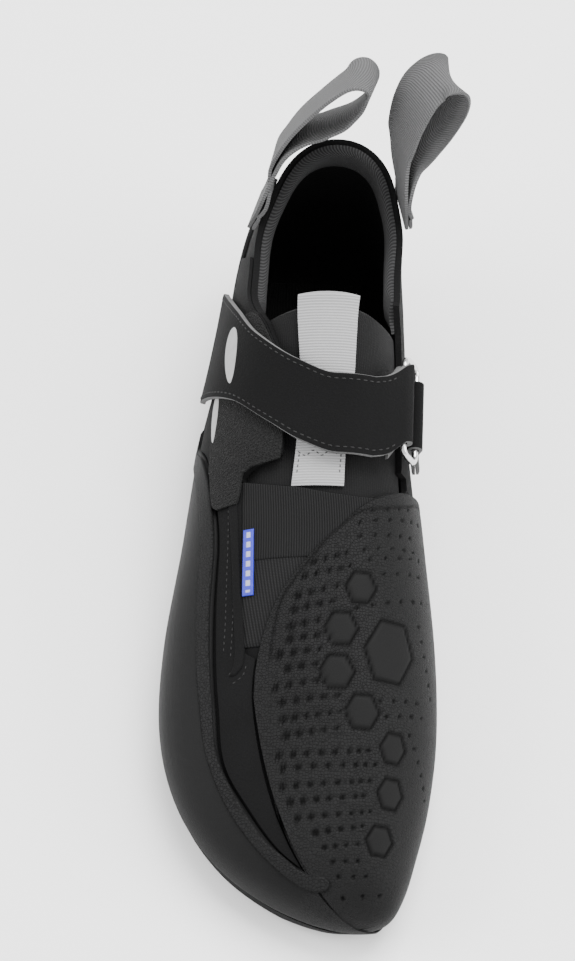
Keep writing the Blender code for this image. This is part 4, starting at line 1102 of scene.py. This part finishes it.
MEDIAL_LOOP = (
    (0.244, 0.930, 1.115, -0.30, 0.95, 0.10),
    (0.240, 0.938, 1.207, -0.44, 0.87, 0.24),
    (0.253, 0.945, 1.323, -0.50, 0.80, 0.32),
    (0.286, 0.955, 1.431, -0.55, 0.75, 0.37),
    (0.333, 0.963, 1.485, -0.58, 0.71, 0.40),
    (0.377, 0.967, 1.485, -0.59, 0.70, 0.41),
    (0.406, 0.965, 1.446, -0.58, 0.71, 0.40),
    (0.403, 0.959, 1.376, -0.55, 0.75, 0.37),
    (0.368, 0.949, 1.286, -0.50, 0.80, 0.32),
    (0.322, 0.938, 1.201, -0.44, 0.87, 0.24),
    (0.286, 0.928, 1.115, -0.30, 0.95, 0.10),
)


def flowing(values, count):
    """Points on one flowing curve through a short list of rows."""
    values = np.asarray(values, float)
    first, last = 2 * values[:1] - values[1:2], 2 * values[-1:] - values[-2:-1]
    padded_rows = np.concatenate([first, values, last])
    found = []
    for at in np.linspace(0, len(values) - 1, count):
        k = min(int(at), len(values) - 2)
        t = at - k
        a, b, c, d = padded_rows[k:k + 4]
        found.append(0.5 * (2 * b + (c - a) * t + (2 * a - 5 * b + 4 * c - d) * t ** 2
                            + (3 * b - a - 3 * c + d) * t ** 3))
    return np.array(found)


def pull_loop(name, sewn, free, turn):
    under = GAP + WEBBING / 2
    over = under + WEBBING + GAP
    rows = []
    for height, ends in ((under, sewn), (None, None), (over, sewn[::-1])):
        if ends is None:
            rows += [
                (x * BALL_WIDTH, back_to_y(y), z * HEEL_HEIGHT, *across) for x, y, z, *across in free]
            continue
        for station, girth in ends:
            across = on_form(station, girth + 0.02)[0] - on_form(station, girth - 0.02)[0]
            across *= turn / np.linalg.norm(across)
            rows.append((*lifted(station, girth, height), *across))
    path = flowing(rows, 150)
    centres, across = path[:, :3], path[:, 3:]
    run = np.gradient(centres, axis=0)
    run /= np.linalg.norm(run, axis=1, keepdims=True)
    across = across - run * np.sum(across * run, axis=1, keepdims=True)
    across /= np.linalg.norm(across, axis=1, keepdims=True)
    outward = np.cross(run, across)
    shares = rounded(10, 0.04) - 0.5
    points = centres[:, None] + across[:, None] * (shares * LOOP_WIDTH)[None, :, None]
    ways = np.broadcast_to(outward[:, None], points.shape)
    return plate(name, points, ways, -WEBBING / 2, WEBBING / 2, 0.0003)


lateral_loop = pull_loop("pull_loop_lateral", LATERAL_SEWN, LATERAL_LOOP, -1)
wear(lateral_loop, grey_webbing, "grey_webbing", "pull_loop_lateral")
medial_loop = pull_loop("pull_loop_medial", MEDIAL_SEWN, MEDIAL_LOOP, 1)
wear(medial_loop, grey_webbing, "grey_webbing", "pull_loop_medial")

# %% [markdown]
# Thread is small but it is what makes sewing look sewn. Each stitch is a tiny rounded bead laid
# along a line, slightly sunk into the cloth, and a whole seam is one piece.


# %% Stitches
def seam(name, lines, finish, slot, pitch=0.0024, length=0.0017, thickness=0.00045):
    """Rows of stitches. Each line is a list of points and of the directions out of the cloth."""
    bm = bmesh.new()
    count = 0
    for points, ways in lines:
        run = np.concatenate([[0], np.cumsum(np.linalg.norm(np.diff(points, axis=0), axis=1))])
        for at in np.arange(pitch / 2, run[-1], pitch):
            centre, ahead, out = (
                np.array([np.interp(at + shift, run, table[:, k]) for k in range(3)])
                for table, shift in ((points, 0), (points, pitch / 4), (ways, 0)))
            along = Vector(ahead - centre).normalized()
            out = Vector(out)
            side = along.cross(out).normalized()
            turn = Matrix((along, side, side.cross(along))).transposed().to_4x4()
            size = Matrix.Diagonal((length, thickness, thickness, 1.0))
            bmesh.ops.create_icosphere(
                bm, subdivisions=1, radius=0.5, matrix=Matrix.Translation(centre) @ turn @ size)
            count += 1
    print(name, count, "stitches")
    return wear(add_piece(name, bm), finish, slot, sharp=80)


def form_line(spots, height):
    """A smooth line through a few (station, girth) spots, at a height over the form."""
    path = flowing(spots, 12 * len(spots))
    points, ways = on_form(path[:, 0], path[:, 1])
    return points + ways * height, ways


def edge_line(points, ways, inset, height):
    """A line inside a ribbon's edge, this far from it."""
    width = lengths(points, 1)
    found = []
    for table in (points, ways):
        total = width[:, -1]
        at = inset if inset > 0 else total + inset
        at = np.broadcast_to(at, total.shape)
        found.append(np.array([
            [np.interp(a, w, row[:, k]) for k in range(3)] for a, w, row in zip(at, width, table)]))
    return found[0] + found[1] * height, found[1]


INSET = 0.0019
sewn_rows = slice(3, 82)
strap_lines = [
    edge_line(strap_points[sewn_rows], strap_ways[sewn_rows], inset, STRAP / 2)
    for inset in (INSET, -INSET)]
seam("strap_stitches", strap_lines, black_thread, "strap_suede", thickness=0.0005)
FLAP_ROWS = (
    *(((7.05, -0.505 - gap), (6.6, -0.50 - gap), (6.0, -0.50 - gap), (5.55, -0.515 - gap))
      for gap in (0.0, 0.035)),
    ((5.55, -0.47), (5.42, -0.49), (5.32, -0.53)), ((5.42, -0.445), (5.30, -0.465), (5.22, -0.51)),
)
flap_lines = [form_line(spots, PANEL_TOP) for spots in FLAP_ROWS]
seam("panel_stitches", flap_lines, black_thread, "suede", pitch=0.0021, length=0.0014)
TAB_ROWS = (
    ((7.27, -0.195), (7.44, -0.18)), ((7.27, 0.018), (7.44, 0.03)),
    ((7.46, -0.19), (7.42, -0.15), (7.46, -0.11), (7.42, -0.07), (7.46, -0.03), (7.42, 0.02)),
)
tab_box = [form_line(spots, TAB_TOP) for spots in TAB_ROWS]
seam("tab_stitches", tab_box, grey_thread, "light_webbing", pitch=0.0017, length=0.0012)

# %% [markdown]
# Two plain grey flashes lie on the outer side, one of them on the strap. A flash is the same kind of
# plate as the rest, between two edges that bulge and then meet.


# %% The flashes
FLASH_SUNK, FLASH_TOP, FLASH_RIM = 0.0002, 0.00012, 0.0001


def flash(name, low_station, high_station, lateral, medial, height):
    stations = np.linspace(low_station, high_station, 40)
    run = (stations - low_station) / (high_station - low_station)
    taper = np.sqrt(np.clip(1 - (2 * run - 1) ** 2, 0.02, 1)) * (0.55 + 0.45 * run)
    middle, half = (lateral + medial) / 2, (medial - lateral) / 2 * taper
    edges = (middle - half, middle + half)
    low, high = height - FLASH_SUNK, height + FLASH_TOP
    piece = between(name, stations, edges, rounded(8, 0.1), low, high, FLASH_RIM)
    wear(piece, pale_print, "light_webbing")


flash("strap_flash", 8.22, 9.05, -0.545, -0.425, LYING + STRAP / 2)
flash("quarter_flash", 7.72, 8.28, -0.68, -0.61, PILE_TOP)

# %% [markdown]
# The shoe stands on a plain pale floor in soft light from a wide panel above and two at the sides.
# The camera looks down at the shoe's front from the height and distance of the photograph.

# %% Floor, light and camera
bm = bmesh.new()
bmesh.ops.create_grid(bm, x_segments=1, y_segments=1, size=4.0)
floor = add_piece("floor", bm)
pale = Finish("pale_floor", Roughness=0.9, Specular_IOR_Level=0.1)
floor.data.materials.append(pale.finish(pale.mix(pale.noise(0.5), grey(0.92), grey(0.94))))

world = bpy.data.worlds.new("soft_room")
world.use_nodes = True
world.node_tree.nodes["Background"].inputs["Color"].default_value = (1.0, 1.0, 1.0, 1.0)
world.node_tree.nodes["Background"].inputs["Strength"].default_value = 1.35
bpy.context.scene.world = world


def panel_light(name, place, target, size, power):
    data = bpy.data.lights.new(name, "AREA")
    data.shape, data.size, data.energy = "SQUARE", size, power
    lamp = bpy.data.objects.new(name, data)
    bpy.context.scene.collection.objects.link(lamp)
    lamp.location = place
    lamp.rotation_euler = (Vector(target) - Vector(place)).to_track_quat("-Z", "Y").to_euler()


SHOE = (0.0, -0.10, 0.03)
panel_light("top_panel", (0.25, 0.35, 1.3), SHOE, 0.9, 34.0)
panel_light("left_panel", (-1.1, -0.2, 0.7), SHOE, 0.8, 16.0)
panel_light("right_panel", (1.1, -0.35, 0.6), SHOE, 0.7, 15.0)

TILT, SWING, DISTANCE = math.radians(60), math.radians(4), 1.1
FOCAL_PIXELS, PICTURE_HEIGHT = 3377, 961
ahead = math.cos(SWING)
back = Vector((-math.sin(SWING), -math.cos(TILT) * ahead, math.sin(TILT) * ahead))
right = Vector((0, 1, 0)).cross(back).normalized()
up = back.cross(right)
camera_data = bpy.data.cameras.new("camera")
camera_data.sensor_fit = "VERTICAL"
camera_data.sensor_height = 24.0
camera_data.lens = FOCAL_PIXELS * camera_data.sensor_height / PICTURE_HEIGHT
camera_data.shift_x = -31.5 / PICTURE_HEIGHT
camera_data.shift_y = 68.5 / PICTURE_HEIGHT
camera = bpy.data.objects.new("camera", camera_data)
bpy.context.scene.collection.objects.link(camera)
turn = Matrix((right, up, back)).transposed().to_4x4()
camera.matrix_world = Matrix.Translation(Vector(SHOE) + back * DISTANCE) @ turn
bpy.context.scene.camera = camera
print("camera", [round(value, 3) for value in camera.location])

# %% Clear the cutters
for cutter in (collar, throat, hem, window):
    bpy.data.objects.remove(cutter, do_unlink=True)
